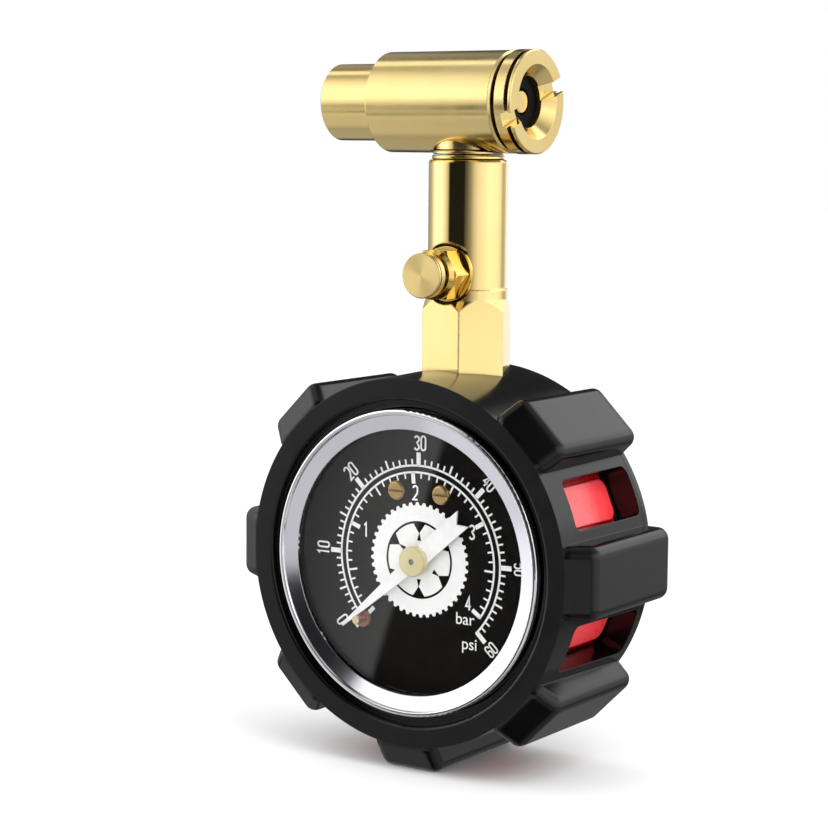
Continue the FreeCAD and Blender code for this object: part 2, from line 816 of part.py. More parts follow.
def make_sector_gear():
    body = new_body("sector_gear", x=sector_place("x"), z=sector_place("z"))
    pitch = "gear_module * sector_teeth / 2"
    root = pitch + " - sector_root_deep"
    step = 360.0 / size("sector_teeth")
    to_pinion = size("sector_direction") - 180.0
    last = to_pinion + 2 * step
    first = last - step * (size("sector_cut_teeth") - 1)
    turned(body, [(root + " - 1.4", "-sector_front"), (root, "-sector_front"), (root, "-sector_back"),
                  (root + " - 1.4", "-sector_back")],
           sweep="360 / sector_teeth * (sector_cut_teeth - 0.4)", offset=about_dial(last + 0.3 * step))
    for angle in (first, last):
        spoke = outline(body, "XZ_Plane", [
            ("0", "-tail_half"), (root + " - 0.3", "-tail_half"), (root + " - 0.3", "tail_half"), ("0", "tail_half")],
            facing_front(size("sector_back"), angle + math.copysign(1.2 * step, to_pinion - 2.5 * step - angle)))
        raised(body, spoke, "sector_front - sector_back")
    tail = outline(body, "XZ_Plane", [
        ("0", "-tail_half"), ("tail_arm + tail_half", "-tail_half"),
        ("tail_arm + tail_half", "tail_half"), ("0", "tail_half")],
        facing_front(size("sector_back"), size("tail_rest")))
    raised(body, tail, "sector_front - sector_back")
    turned(body, [("0", "-sector_hub_front"), ("sector_hub", "-sector_hub_front"),
                  ("sector_hub", "-sector_hub_back"), ("0", "-sector_hub_back")])
    add_teeth(body, root, pitch + " + sector_tip_high", "sector_root_half", "sector_tip_half",
              size("sector_back"), "sector_front - sector_back", first, "sector_cut_teeth",
              "360 / sector_teeth * (sector_cut_teeth - 1)")
    reach = "tail_arm * cos(tail_rest)", "tail_arm * sin(tail_rest)"
    holes = circles(body, "XZ_Plane", [("0", "0", "arbor_radius"), reach + ("rivet_radius",)],
                    facing_front(size("sector_hub_front") + 1))
    raised(body, holes, "sector_hub_front - sector_hub_back + 2", cut=True)
    return body


def make_sector_arbor():
    body = new_body("sector_arbor", x=sector_place("x"), z=sector_place("z"))
    turned(body, [("0", "-sector_arbor_front"), ("arbor_radius", "-sector_arbor_front"),
                  ("arbor_radius", "-sector_arbor_back"), ("0", "-sector_arbor_back")])
    return body


def tail_place(axis):
    word = "cos" if axis == "x" else "sin"
    return sector_place(axis) + f" + tail_arm * {word}(tail_rest)"


def make_sector_rivet():
    body = new_body("sector_rivet", x=tail_place("x"), z=tail_place("z"))
    turned(body, [("0", "-rivet_front"), ("rivet_radius + 0.3", "-rivet_front"), ("rivet_radius + 0.3", "-sector_front"),
                  ("rivet_radius", "-sector_front"), ("rivet_radius", "-rivet_back"), ("0", "-rivet_back")])
    return body


def make_link_bar():
    body = new_body("link_bar", x=tail_place("x"), z=tail_place("z"))
    lift = facing_front(size("link_back"))
    bar = outline(body, "XZ_Plane", [("-link_half", "0"), ("link_half", "0"),
                                     ("link_half", "link_high"), ("-link_half", "link_high")], lift)
    raised(body, bar, "link_front - link_back")
    for height in ("0", "link_high"):
        eye = circles(body, "XZ_Plane", [("0", height, "link_eye")], lift)
        raised(body, eye, "link_front - link_back")
    holes = circles(body, "XZ_Plane", [("0", "0", "rivet_radius + bearing_clear"),
                                       ("0", "link_high", "link_pin_radius")],
                    facing_front(size("link_front") + 1))
    raised(body, holes, "2", cut=True)
    return body


def make_link_rivet():
    body = new_body("link_rivet", x=tail_place("x"), z=tail_place("z") + " + link_high")
    turned(body, [("0", "-link_front - 0.2"), ("link_pin_radius + 0.25", "-link_front - 0.2"),
                  ("link_pin_radius + 0.25", "-link_front"), ("link_pin_radius", "-link_front"),
                  ("link_pin_radius", "-link_pin_back"), ("0", "-link_pin_back")])
    return body


def tube_section(grow):
    """Corners of the tube's flattened section, in (radius, y): a slot with chamfered ends."""
    thick = "(tube_half_thick" + grow + ")"
    wide = "(tube_half_width" + grow + ")"
    short = wide + " - " + thick + " / 2"
    return [(f"tube_radius - {thick} / 2", f"-stem_back - {wide}"), (f"tube_radius + {thick} / 2", f"-stem_back - {wide}"),
            (f"tube_radius + {thick}", f"-stem_back - ({short})"), (f"tube_radius + {thick}", f"-stem_back + ({short})"),
            (f"tube_radius + {thick} / 2", f"-stem_back + {wide}"), (f"tube_radius - {thick} / 2", f"-stem_back + {wide}"),
            (f"tube_radius - {thick}", f"-stem_back + ({short})"), (f"tube_radius - {thick}", f"-stem_back - ({short})")]


def make_bourdon_tube():
    body = new_body("bourdon_tube")
    start = about_dial(size("tube_start_angle"))
    turned(body, tube_section(""), sweep="tube_sweep", offset=start)
    turned(body, tube_section(" - tube_wall"), sweep="tube_sweep", offset=start, cut=True)
    return body


def make_tube_tip():
    """The block that closes the tube's free end, with the arm that the link pushes from."""
    end = "-tube_radius"
    block = primitive("Box", "tip_block", {
        "Length": "2 * tip_block_half", "Width": "2 * tip_block_wide", "Height": "tip_block_high"},
        end + " - tip_block_half", "-stem_back - tip_block_wide", "tip_gap")
    post = primitive("Box", "tip_post", {
        "Length": "tip_post_wide", "Width": "tip_arm_front - stem_back", "Height": "tip_block_high"},
        end, "-tip_arm_front", "tip_gap")
    arm = primitive("Box", "tip_arm", {
        "Length": "tube_radius + " + tail_place("x"), "Width": "tip_arm_front - tip_arm_back",
        "Height": "2 * tip_arm_half"},
        end, "-tip_arm_front", link_top() + " - tip_arm_half")
    eye = primitive("Cylinder", "tip_arm_eye", {"Radius": "tip_eye", "Height": "tip_arm_front - tip_arm_back"},
                    tail_place("x"), "-tip_arm_back", link_top(), FRONT)
    hole = primitive("Cylinder", "tip_arm_hole", {"Radius": "tip_hole", "Height": "2 * tip_arm_front"},
                     tail_place("x"), "0", link_top(), FRONT)
    return cut_away("tube_tip", fused("tip_solid", [block, post, arm, eye]), hole)


def link_top():
    return tail_place("z") + " + link_high"


# ---------------------------------------------------------------- movement frame

def make_plate(label, front):
    body = new_body(label)
    corners = [(str(x), str(z)) for x, z in PLATE_CORNERS]
    sketch = outline(body, "XZ_Plane", corners, facing_front(size(front) - size("plate_thick")))
    raised(body, sketch, "plate_thick")
    bearing = "arbor_radius + bearing_clear"
    holes = circles(body, "XZ_Plane", [("0", "0", bearing), (sector_place("x"), sector_place("z"), bearing)],
                    facing_front(size(front) + 1))
    raised(body, holes, "2 + plate_thick", cut=True)
    return body


def drill_plate(body, places, radius, front):
    holes = circles(body, "XZ_Plane", [(str(x), str(z), radius) for x, z in places],
                    facing_front(size(front) + 1))
    raised(body, holes, "2 + plate_thick", cut=True)


def make_movement_front_plate():
    body = make_plate("movement_front_plate", "front_plate_front")
    drill_plate(body, PILLARS, "pillar_radius / 2", "front_plate_front")
    return body


def make_movement_back_plate():
    body = make_plate("movement_back_plate", "back_plate_front")
    drill_plate(body, MOUNT_SCREWS, "mount_screw_shank", "back_plate_front")
    return body


def make_movement_pillars():
    pillars = []
    for x, z in PILLARS:
        body = new_body("movement_pillar", x=str(x), z=str(z))
        front = "-front_plate_front + plate_thick"
        well = front + " + 1.6"
        bore = "pillar_radius / 2"
        turned(body, [(bore, front), ("pillar_radius", front), ("pillar_radius", "-back_plate_front"),
                      ("0", "-back_plate_front"), ("0", well), (bore, well)])
        pillars.append(body)
    return group("movement_pillars", pillars)


def make_screws(label, places, head_radius, head_high, face, shank, tip):
    """Cheese-head screws that point to the back, in one node."""
    screws = []
    for x, z in places:
        body = new_body(label + "_one", x=str(x), z=str(z))
        top = face + " - " + head_high
        turned(body, [("0", top), (head_radius, top), (head_radius, face), (shank, face), (shank, tip), ("0", tip)])
        screws.append(body)
    return group(label, screws)


def make_movement_screws():
    return make_screws("movement_screws", PILLARS, "movement_screw_head", "movement_screw_high",
                       "-front_plate_front", "pillar_radius / 2", "-front_plate_front + plate_thick + 1.4")


def make_mount_screws():
    return make_screws("mount_screws", MOUNT_SCREWS, "mount_screw_head", "mount_screw_high",
                       "-back_plate_front", "mount_screw_shank", "-socket_front + mount_screw_deep")


def make_hairspring():
    """A flat spiral of half circles, each one step larger and centred half a step aside."""
    strip = size("spring_strip")
    centre = 0.0
    radius = size("spring_start")
    edges = {-1: [], 1: []}
    for index in range(int(size("spring_half_turns"))):
        side = 1 if index % 2 == 0 else -1
        for offset, arcs in edges.items():
            reach = radius + offset * strip / 2
            points = [Vector(centre + side * reach, 0, 0), Vector(centre, 0, side * reach),
                      Vector(centre - side * reach, 0, 0)]
            arcs.append(Part.Arc(*points).toShape())
        centre += side * size("spring_pitch") / 4
        radius += size("spring_pitch") / 4
    inner, outer = edges[-1], edges[1]
    start = Part.makeLine(inner[0].Vertexes[0].Point, outer[0].Vertexes[0].Point)
    finish = Part.makeLine(inner[-1].Vertexes[-1].Point, outer[-1].Vertexes[-1].Point)
    wire = Part.Wire(Part.__sortEdges__(inner + outer + [start, finish]))
    spring = doc.addObject("Part::Feature", "hairspring")
    spring.Shape = Part.Face(wire).extrude(Vector(0, -size("spring_high"), 0))
    spring.Placement = Placement(Vector(0, -size("spring_back"), 0), Rotation())
    return spring


# ---------------------------------------------------------------- socket and stem

def make_socket_block():
    block = primitive("Box", "socket_box", {
        "Length": "2 * socket_half", "Width": "socket_front - socket_back", "Height": "socket_top - socket_bottom"},
        "-socket_half", "-socket_front", "socket_bottom")
    shoulder = primitive("Cylinder", "socket_shoulder", {
        "Radius": "shoulder_radius", "Height": "shoulder_top - socket_bottom - 8"},
        "0", "-stem_back", "socket_bottom + 8")
    neck = primitive("Cylinder", "socket_thread", {
        "Radius": "thread_radius", "Height": "thread_top - shoulder_top + 1"}, "0", "-stem_back", "shoulder_top - 1")
    port = primitive("Cylinder", "socket_port", {
        "Radius": "port_radius", "Height": "thread_top"}, "0", "-stem_back", "port_bottom")
    seat = new_body("tube_seat")
    turned(seat, tube_section(""), sweep="tube_sweep", offset=about_dial(size("tube_start_angle")))
    bodies = [port, seat]
    for x, z in MOUNT_SCREWS:
        bodies.append(primitive("Cylinder", "socket_screw_hole", {
            "Radius": "mount_screw_shank", "Height": "mount_screw_deep + 0.3"},
            str(x), "-socket_front + mount_screw_deep + 0.3", str(z), FRONT))
    solid = fused("socket_solid", [block, shoulder, neck])
    return cut_away("socket_block", solid, fused("socket_cuts", bodies))


def upright(label, corners, x="0", y="-stem_back"):
    """A piece turned about the vertical; corners are (radius, height)."""
    body = new_body(label, x=x, y=y)
    turned(body, corners)
    body.Placement = Placement(Vector(), Rotation(Vector(1, 0, 0), 90))
    for axis, text in (("x", x), ("y", y)):
        if text != "0":
            bind(body, "Placement.Base." + axis, text)
    return body


def make_sealing_washer():
    hole = "thread_radius + thread_clear"
    return upright("sealing_washer", [
        (hole, "shoulder_top"), ("washer_radius", "shoulder_top"),
        ("washer_radius", "shoulder_top + washer_thick"), (hole, "shoulder_top + washer_thick")])


def hexagon(label, flats, height, x, y, z, axis, turn):
    """A hexagonal prism of this width across flats."""
    prism = primitive("Prism", label, {"Circumradius": flats + " / sqrt(3)", "Height": height}, x, y, z)
    prism.Polygon = 6
    lean = Rotation(Vector(0, 0, 1), Vector(*axis))
    prism.Placement = Placement(prism.Placement.Base, lean.multiply(Rotation(Vector(0, 0, 1), turn)))
    return prism


def make_stem_body():
    turned_part = upright("stem_turned", [
        ("0", "hex_bottom"), ("stem_radius - 0.3", "hex_bottom"), ("stem_radius - 0.3", "hex_top - 1"),
        ("stem_radius", "hex_top - 1"), ("stem_radius", "stem_top - stem_edge"),
        ("stem_radius - stem_edge", "stem_top"), ("spigot_radius", "stem_top"),
        ("spigot_radius", "seal_groove_low"), ("spigot_groove", "seal_groove_low"),
        ("spigot_groove", "seal_groove_high"), ("spigot_radius", "seal_groove_high"),
        ("spigot_radius", "ring_groove_low"), ("spigot_groove", "ring_groove_low"),
        ("spigot_groove", "ring_groove_high"), ("spigot_radius", "ring_groove_high"),
        ("spigot_radius", "spigot_top"), ("0", "spigot_top")])
    prism = hexagon("stem_prism", "hex_flats", "hex_top - hex_bottom", "0", "-stem_back", "hex_bottom",
                    (0, 0, 1), size("hex_turn"))
    limit = upright("stem_chamfer", [
        ("0", "hex_bottom"), ("hex_corner - 0.3", "hex_bottom"), ("hex_corner", "hex_bottom + 0.3"),
        ("hex_corner", "hex_top - hex_chamfer_high"), ("hex_shoulder", "hex_top - hex_shoulder_high"),
        ("hex_shoulder", "hex_top - 0.15"), ("hex_shoulder - 0.15", "hex_top"), ("0", "hex_top")])
    hexed = doc.addObject("Part::MultiCommon", "stem_hex")
    hexed.Shapes = [prism, limit]
    solid = fused("stem_solid", [turned_part, hexed])
    cuts = [
        primitive("Cylinder", "stem_thread", {"Radius": "thread_radius + thread_clear",
                  "Height": "thread_top + 0.5 - hex_bottom + 1"}, "0", "-stem_back", "hex_bottom - 1"),
        primitive("Cylinder", "stem_way", {"Radius": "stem_bore", "Height": "spigot_top"}, "0", "-stem_back", "hex_bottom"),
        primitive("Cylinder", "spot_face_cut", {"Radius": "spot_radius", "Height": "5"},
                  "0", "-spot_face", "bleeder_z", FRONT),
        primitive("Cylinder", "bleeder_tapped", {"Radius": "bleeder_hole", "Height": "spot_face - bleeder_inner + 1"},
                  "0", "-bleeder_inner", "bleeder_z", FRONT),
        primitive("Cylinder", "bleeder_chamber", {"Radius": "chamber_radius", "Height": "spot_face - chamber_back"},
                  "0", "-chamber_back", "bleeder_z", FRONT),
    ]
    return cut_away("stem_body", solid, fused("stem_cuts", cuts))


# ---------------------------------------------------------------- bleeder, about an axis along Y

def make_bleeder_washer():
    body = new_body("bleeder_washer", z="bleeder_z")
    hole = "bleeder_thread + thread_clear"
    face = "-spot_face - bleeder_washer_thick"
    turned(body, [(hole, face), ("bleeder_washer - 0.2", face), ("bleeder_washer", face + " + 0.2"),
                  ("bleeder_washer", "-spot_face"), (hole, "-spot_face")])
    return body


def make_bleeder_body():
    shoulder = "-spot_face - bleeder_washer_thick - 0.02"
    core = new_body("bleeder_core", z="bleeder_z")
    turned(core, [
        ("plunger_bore", "-bleeder_inner"), ("bleeder_thread", "-bleeder_inner"), ("bleeder_thread", shoulder),
        ("collar_flats / 2 - 0.2", shoulder), ("collar_flats / 2 - 0.2", "-collar_front"),
        ("collar_flange", "-collar_front"), ("collar_flange", "-collar_front - 0.2"),
        ("flange_lip", "-flange_front"), ("spring_well", "-flange_front"), ("spring_well", "-spring_well_back"),
        ("plunger_bore", "-spring_well_back")])
    prism = hexagon("bleeder_prism", "collar_flats", "collar_front + " + shoulder, "0", shoulder, "bleeder_z", FRONT, 0)
    limit = new_body("bleeder_chamfer", z="bleeder_z")
    turned(limit, [
        ("collar_flats / 2 - 0.5", shoulder), ("collar_flats / 2 + 0.3", shoulder),
        ("collar_flats / sqrt(3)", shoulder + " - 0.35"), ("collar_flats / sqrt(3)", "-collar_front + 0.35"),
        ("collar_flats / 2 + 0.3", "-collar_front"), ("collar_flats / 2 - 0.5", "-collar_front")])
    hexed = doc.addObject("Part::MultiCommon", "bleeder_hex")
    hexed.Shapes = [prism, limit]
    return fused("bleeder_body", [core, hexed])


def make_bleeder_button():
    body = new_body("bleeder_button", z="bleeder_z")
    face = "-button_front"
    turned(body, [
        ("0", face), ("button_radius - button_round", face), ("button_radius", face + " + button_round"),
        ("button_radius", "-button_groove_front"), ("button_groove", "-button_groove_front"),
        ("button_groove", "-button_groove_back"), ("button_radius", "-button_groove_back"),
        ("button_radius", "-button_back"), ("plunger_radius", "-button_back"),
        ("plunger_radius", "-button_front + 0.6"), ("0", "-button_front + 0.6")])
    return body


def make_bleeder_plunger():
    body = new_body("bleeder_plunger", z="bleeder_z")
    turned(body, [("0", "-button_front + 0.6"), ("plunger_radius", "-button_front + 0.6"),
                  ("plunger_radius", "-plunger_head_front"), ("plunger_head", "-plunger_head_front"),
                  ("plunger_head", "-plunger_head_back"), ("0", "-plunger_head_back")])
    return body


def make_bleeder_seal():
    body = new_body("bleeder_seal", z="bleeder_z")
    front = "-bleeder_inner + 0.03"
    turned(body, [("plunger_radius", front), ("plunger_head", front),
                  ("plunger_head", "-plunger_head_front"), ("plunger_radius", "-plunger_head_front")])
    return body


def make_coil(label, coil, wire, turns, length, x, y, z, axis):
    """A helical spring: a round wire swept along a helix, first along +Z, then turned onto its axis."""
    helix = doc.addObject("Part::Helix", label + "_path")
    bind(helix, "Radius", coil)
    bind(helix, "Height", f"({length}) - 2 * {wire}")
    bind(helix, "Pitch", f"(({length}) - 2 * {wire}) / {turns}")
    ring = doc.addObject("Part::Circle", label + "_wire")
    bind(ring, "Radius", wire)
    ring.Placement = Placement(Vector(), Rotation(Vector(1, 0, 0), 90))
    bind(ring, "Placement.Base.x", coil)
    doc.recompute()
    sweep = doc.addObject("Part::Sweep", label)
    sweep.Sections = [ring]
    sweep.Spine = (helix, ["Edge%d" % (index + 1) for index in range(len(helix.Shape.Edges))])
    sweep.Solid = True
    sweep.Frenet = True
    sweep.Placement = Placement(Vector(), Rotation(Vector(0, 0, 1), Vector(*axis)))
    for letter, text in (("x", x), ("y", y), ("z", z)):
        bind(sweep, "Placement.Base." + letter, text)
    return sweep


def make_bleeder_spring():
    return make_coil("bleeder_spring", "coil_radius", "coil_wire", "coil_turns",
                     "button_back - spring_well_back - 0.06", "0", "-spring_well_back - 0.03 - coil_wire",
                     "bleeder_z", FRONT)


# ---------------------------------------------------------------- chuck, about an axis along X

def lengthwise(label, corners):
    """A piece turned about the chuck's axis; corners are (x, radius)."""
    body = new_body(label, y="-stem_back", z="chuck_z")
    turned(body, corners, about="H_Axis")
    return body


def make_chuck_body():
    barrel = lengthwise("chuck_barrel", [
        ("-chuck_rear", "cap_thread + 0.05"), ("-chuck_rear", "chuck_radius - chuck_edge"),
        ("-chuck_rear + chuck_edge", "chuck_radius"), ("chuck_front - chuck_edge", "chuck_radius"),
        ("chuck_front", "chuck_radius - chuck_edge"), ("chuck_front", "nut_thread + 0.05"),
        ("nut_seat_rear", "nut_thread + 0.05"), ("nut_seat_rear", "throat_radius"),
        ("check_seat", "throat_radius"), ("check_seat", "check_chamber"),
        ("-cap_thread_front", "check_chamber"), ("-cap_thread_front", "cap_thread + 0.05")])
    seat = primitive("Cylinder", "chuck_seat", {"Radius": "seat_radius", "Height": "boss_bottom - stem_top"},
                     "0", "-stem_back", "stem_top")
    boss_top = "swivel_top + 0.2"
    boss = upright("chuck_boss", [
        ("swivel_bore", "boss_bottom"), ("boss_radius - 0.15", "boss_bottom"), ("boss_radius", "boss_bottom + 0.15"),
        ("boss_radius", boss_top), ("swivel_bore", boss_top)])
    bore = upright("chuck_bore", [
        ("0", "stem_top"), ("swivel_bore", "stem_top"), ("swivel_bore", "ring_groove_low"),
        ("keeper_groove", "ring_groove_low"), ("keeper_groove", "ring_groove_high"),
        ("swivel_bore", "ring_groove_high"), ("swivel_bore", "swivel_top"), ("port_radius", "swivel_top"),
        ("port_radius", "chuck_z"), ("0", "chuck_z")])
    cut_barrel = cut_away("chuck_cut", barrel, seat)
    return cut_away("chuck_body", fused("chuck_solid", [cut_barrel, boss]), bore)


def make_end_cap():
    return lengthwise("end_cap", [
        ("-cap_rear", "0"), ("-cap_rear", "cap_radius - cap_edge"), ("-cap_rear + cap_edge", "cap_radius"),
        ("-chuck_rear - 0.02", "cap_radius"), ("-chuck_rear - 0.02", "cap_thread"),
        ("-cap_thread_front - 0.02", "cap_thread"), ("-cap_thread_front - 0.02", "cap_bore"),
        ("-cap_bore_rear", "cap_bore"), ("-cap_bore_rear", "0")])


def make_ring_nut():
    body = lengthwise("ring_nut_turned", [
        ("nut_face", "mouth_radius"), ("nut_face", "nut_radius - nut_edge"), ("nut_face - nut_edge", "nut_radius"),
        ("nut_groove_front", "nut_radius"), ("nut_groove_front", "nut_groove"), ("nut_groove_rear", "nut_groove"),
        ("nut_groove_rear", "nut_radius"), ("nut_rear", "nut_radius"), ("nut_rear", "nut_neck"),
        ("chuck_front + 0.02", "nut_neck"), ("chuck_front + 0.02", "nut_thread"),
        ("nut_seat_rear + 0.02", "nut_thread"), ("nut_seat_rear + 0.02", "seal_pocket"),
        ("seal_front", "seal_pocket"), ("seal_front", "valve_bore"), ("nut_face - mouth_depth", "valve_bore")])
    slot = primitive("Box", "nut_slot", {
        "Length": "slot_depth + 1", "Width": "2 * nut_radius + 2", "Height": "slot_width"})
    turn = Rotation(Vector(1, 0, 0), size("slot_tilt"))
    middle = turn.multVec(Vector(0, size("nut_radius") + 1, size("slot_width") / 2))
    slot.Placement = Placement(Vector(0, -middle.y, -middle.z), turn)
    for letter, text in (("x", "nut_face - slot_depth"),
                         ("y", "-stem_back - (nut_radius + 1) * cos(slot_tilt) + slot_width / 2 * sin(slot_tilt)"),
                         ("z", "chuck_z - (nut_radius + 1) * sin(slot_tilt) - slot_width / 2 * cos(slot_tilt)")):
        bind(slot, "Placement.Base." + letter, text)
    return cut_away("ring_nut", body, slot)


def make_valve_seal():
    return lengthwise("valve_seal", [
        ("seal_rear", "seal_hole"), ("seal_rear", "seal_radius"), ("seal_front - 0.02", "seal_radius"),
        ("seal_front - 0.02", "seal_hole + 0.15"), ("seal_front - 0.17", "seal_hole")])


def make_depressor_pin():
    return lengthwise("depressor_pin", [
        ("pin_front", "0"), ("pin_front", "pin_head - 0.15"), ("pin_front - 0.15", "pin_head"),
        ("pin_head_rear", "pin_head"), ("pin_head_rear", "pin_shank"), ("pin_rear", "pin_shank"), ("pin_rear", "0")])


def make_check_poppet():
    return lengthwise("check_poppet", [
        ("pin_rear", "0"), ("pin_rear", "pin_shank"), ("poppet_front", "pin_shank"),
        ("poppet_front", "poppet_radius"), ("poppet_rear", "poppet_radius"), ("poppet_rear", "poppet_spigot"),
        ("-poppet_spigot_rear", "poppet_spigot"), ("-poppet_spigot_rear", "0")])


def make_poppet_seal():
    return lengthwise("poppet_seal", [
        ("poppet_front", "pin_shank"), ("poppet_front", "poppet_ring"),
        ("poppet_ring_front", "poppet_ring"), ("poppet_ring_front", "pin_shank")])


def make_check_spring():
    return make_coil("check_spring", "check_coil", "check_wire", "check_turns",
                     "cap_bore_rear + poppet_rear - 0.1", "-cap_bore_rear + 0.05 + check_wire", "-stem_back",
                     "chuck_z", (1, 0, 0))


def make_ring(label, inside, outside, low, high, edge):
    """A washer about the stem's axis with softened outer edges."""
    return upright(label, [
        (inside, low), (f"{outside} - {edge}", low), (outside, f"{low} + {edge}"),
        (outside, f"{high} - {edge}"), (f"{outside} - {edge}", high), (inside, high)])


def make_swivel_washer():
    return make_ring("swivel_washer", "swivel_bore", "washer_ring", "washer_low", "washer_high", "collar_edge")


def make_swivel_collar():
    return make_ring("swivel_collar", "swivel_bore", "collar_ring", "collar_low", "boss_bottom - 0.04", "collar_edge")


def make_swivel_seal():
    return make_ring("swivel_seal", "ring_seal_inside", "ring_seal_outside", "seal_groove_low + 0.03",
                     "seal_groove_high - 0.03", "0.2")


def make_keeper_ring():
    return make_ring("keeper_ring", "keeper_inside", "keeper_outside", "ring_groove_low + 0.03",
                     "ring_groove_high - 0.03", "0.15")


def make_spring_stud():
    return primitive("Box", "spring_stud", {
        "Length": "0.6", "Width": "front_plate_front - plate_thick - spring_back + 0.15", "Height": "2 * stud_half"},
        "-2.52", "-front_plate_front + plate_thick", "-stud_half")


MAKERS = [
    make_front_cover, make_back_cover, make_liner_ring, make_gauge_case, make_bezel_ring, make_lens,
    make_lens_gasket, make_dial_plate, make_dial_screws, make_dial_posts, make_stop_pin, make_pointer,
    make_pointer_hub, make_pinion_arbor, make_sector_gear, make_sector_arbor, make_sector_rivet,
    make_link_bar, make_link_rivet, make_bourdon_tube, make_tube_tip, make_movement_front_plate,
    make_movement_back_plate, make_movement_pillars, make_movement_screws, make_mount_screws,
    make_hairspring, make_spring_stud, make_socket_block, make_sealing_washer, make_stem_body,
    make_bleeder_washer, make_bleeder_body, make_bleeder_button, make_bleeder_plunger, make_bleeder_seal,
    make_bleeder_spring, make_swivel_washer, make_swivel_collar, make_swivel_seal, make_keeper_ring,
    make_chuck_body, make_end_cap, make_ring_nut, make_valve_seal, make_depressor_pin, make_check_poppet,
    make_poppet_seal, make_check_spring,
]


def main():
    fill_sheet()
    nodes = [(maker.__name__[5:], maker()) for maker in MAKERS]
    doc.recompute()
    faults = []
    for item in doc.Objects:
        if "Invalid" in item.State or "Error" in item.State:
            faults.append(item.Name + " " + str(item.State))
    for name, item in nodes:
        item.Label = name
        shape = item.Shape
        if shape.isNull() or not shape.isValid() or not shape.Solids:
            faults.append(name + " has no sound solid")
            continue
        box = shape.BoundBox
        print("%-22s %2d solid %9.2f mm3  x %7.2f %7.2f  y %7.2f %7.2f  z %7.2f %7.2f" % (
            name, len(shape.Solids), shape.Volume, box.XMin, box.XMax, box.YMin, box.YMax, box.ZMin, box.ZMax))
    if faults:
        raise RuntimeError("; ".join(faults))
    os.makedirs("parts", exist_ok=True)
    for name, item in nodes:
        item.Shape.exportStep("parts/" + name + ".step")


main()
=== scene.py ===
"""Looks for the dial tyre pressure gauge: materials, dial print, studio light and camera.

Lengths are in millimetres in the script's own numbers, and MM turns them into Blender's metres.
Angles on the dial count from +X towards +Z, in degrees, as seen from the front.
"""

import math

import bmesh
import bpy
from mathutils import Matrix, Vector


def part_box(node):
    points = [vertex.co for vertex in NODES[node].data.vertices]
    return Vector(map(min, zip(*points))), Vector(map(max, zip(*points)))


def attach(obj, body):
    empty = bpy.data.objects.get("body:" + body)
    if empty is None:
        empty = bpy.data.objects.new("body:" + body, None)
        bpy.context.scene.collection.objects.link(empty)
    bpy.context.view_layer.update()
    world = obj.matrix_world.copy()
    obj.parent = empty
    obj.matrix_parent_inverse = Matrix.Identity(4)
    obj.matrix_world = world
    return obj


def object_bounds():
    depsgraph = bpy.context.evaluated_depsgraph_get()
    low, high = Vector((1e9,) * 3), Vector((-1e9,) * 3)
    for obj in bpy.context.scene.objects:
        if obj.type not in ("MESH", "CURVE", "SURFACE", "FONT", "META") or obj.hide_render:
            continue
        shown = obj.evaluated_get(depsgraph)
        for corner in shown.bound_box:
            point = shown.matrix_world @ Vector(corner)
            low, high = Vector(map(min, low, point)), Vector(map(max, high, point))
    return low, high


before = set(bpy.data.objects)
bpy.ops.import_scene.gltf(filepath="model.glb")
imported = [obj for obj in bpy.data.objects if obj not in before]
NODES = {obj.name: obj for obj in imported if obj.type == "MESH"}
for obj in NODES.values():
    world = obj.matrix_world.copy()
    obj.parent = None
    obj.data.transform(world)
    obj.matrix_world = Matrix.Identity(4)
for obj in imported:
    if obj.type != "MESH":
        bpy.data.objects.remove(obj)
CAD_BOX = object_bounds()
MM = 0.001


# ---------------------------------------------------------------- places

def middle_of(node):
    """The middle of a node's box, in millimetres."""
    return [(low + high) / 2 / MM for low, high in zip(*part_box(node))]


DIAL_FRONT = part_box("dial_plate")[0][1] / MM
BUTTON_Z = middle_of("bleeder_button")[2]
FLOOR_Z = CAD_BOX[0][2]
# Radii about the dial's axis: where the bezel's bright crest meets its cone, and the level just
# under the liner's face that its painted shade is measured from.
BEZEL_CREASE, LINER_LEVEL = 24.1, 25.85
# In front of this, the liner is painted near black, as painted shade in the dark crack beside the
# bezel.
LINER_FRONT_Y = -23.4

# ---------------------------------------------------------------- dial layout

# The print stands PRINT_HIGH proud of the dial, and starts PRINT_ROOT inside it.
PRINT_HIGH, PRINT_ROOT = 0.03, 0.01
# Both scales start at this angle, and their lines have one width.
SCALE_ZERO, LINE_WIDTH = 225.0, 0.34
# For each scale: the marks after nought and the degrees between them, the radius of its line and
# the degrees that it runs past each end, then the far radius and the width of the marks for tens,
# fives and ones.
SCALES = {
    "psi": dict(marks=60, step=4.47, line=15.45, before=0.5, after=1.2,
                kinds=((17.6, 0.8), (17.05, 0.34), (16.5, 0.30))),
    "bar": dict(marks=40, step=6.48, line=14.35, before=0.0, after=1.0,
                kinds=((12.5, 0.72), (12.55, 0.32), (13.35, 0.28))),
}
# The outer numerals: the angle of each one's place, the angle its top points to, and its height.
PSI_CIRCLE = 19.15
PSI_NUMERALS = [
    ("0", 217.5, 217.5, 2.3), ("10", 180, 180, 2.3), ("20", 135.5, 135.5, 2.3), ("30", 90, 90, 2.3),
    ("40", 46, 46, 2.2), ("50", 1.5, 1.5, 2.0), ("60", -43, 137, 1.95),
]
# The inner numerals and the words, which all stand upright, with the (x, z) of their middles.
BAR_NUMERALS = [("1", (-10.6, 3.9)), ("2", (-0.85, 10.95)), ("3", (10.1, 5.6)), ("4", (9.55, -6.0))]
BAR_HEIGHT = 2.3
WORDS = [("bar", (8.95, -8.75)), ("psi", (9.85, -12.75))]
WORD_HEIGHT = 2.75
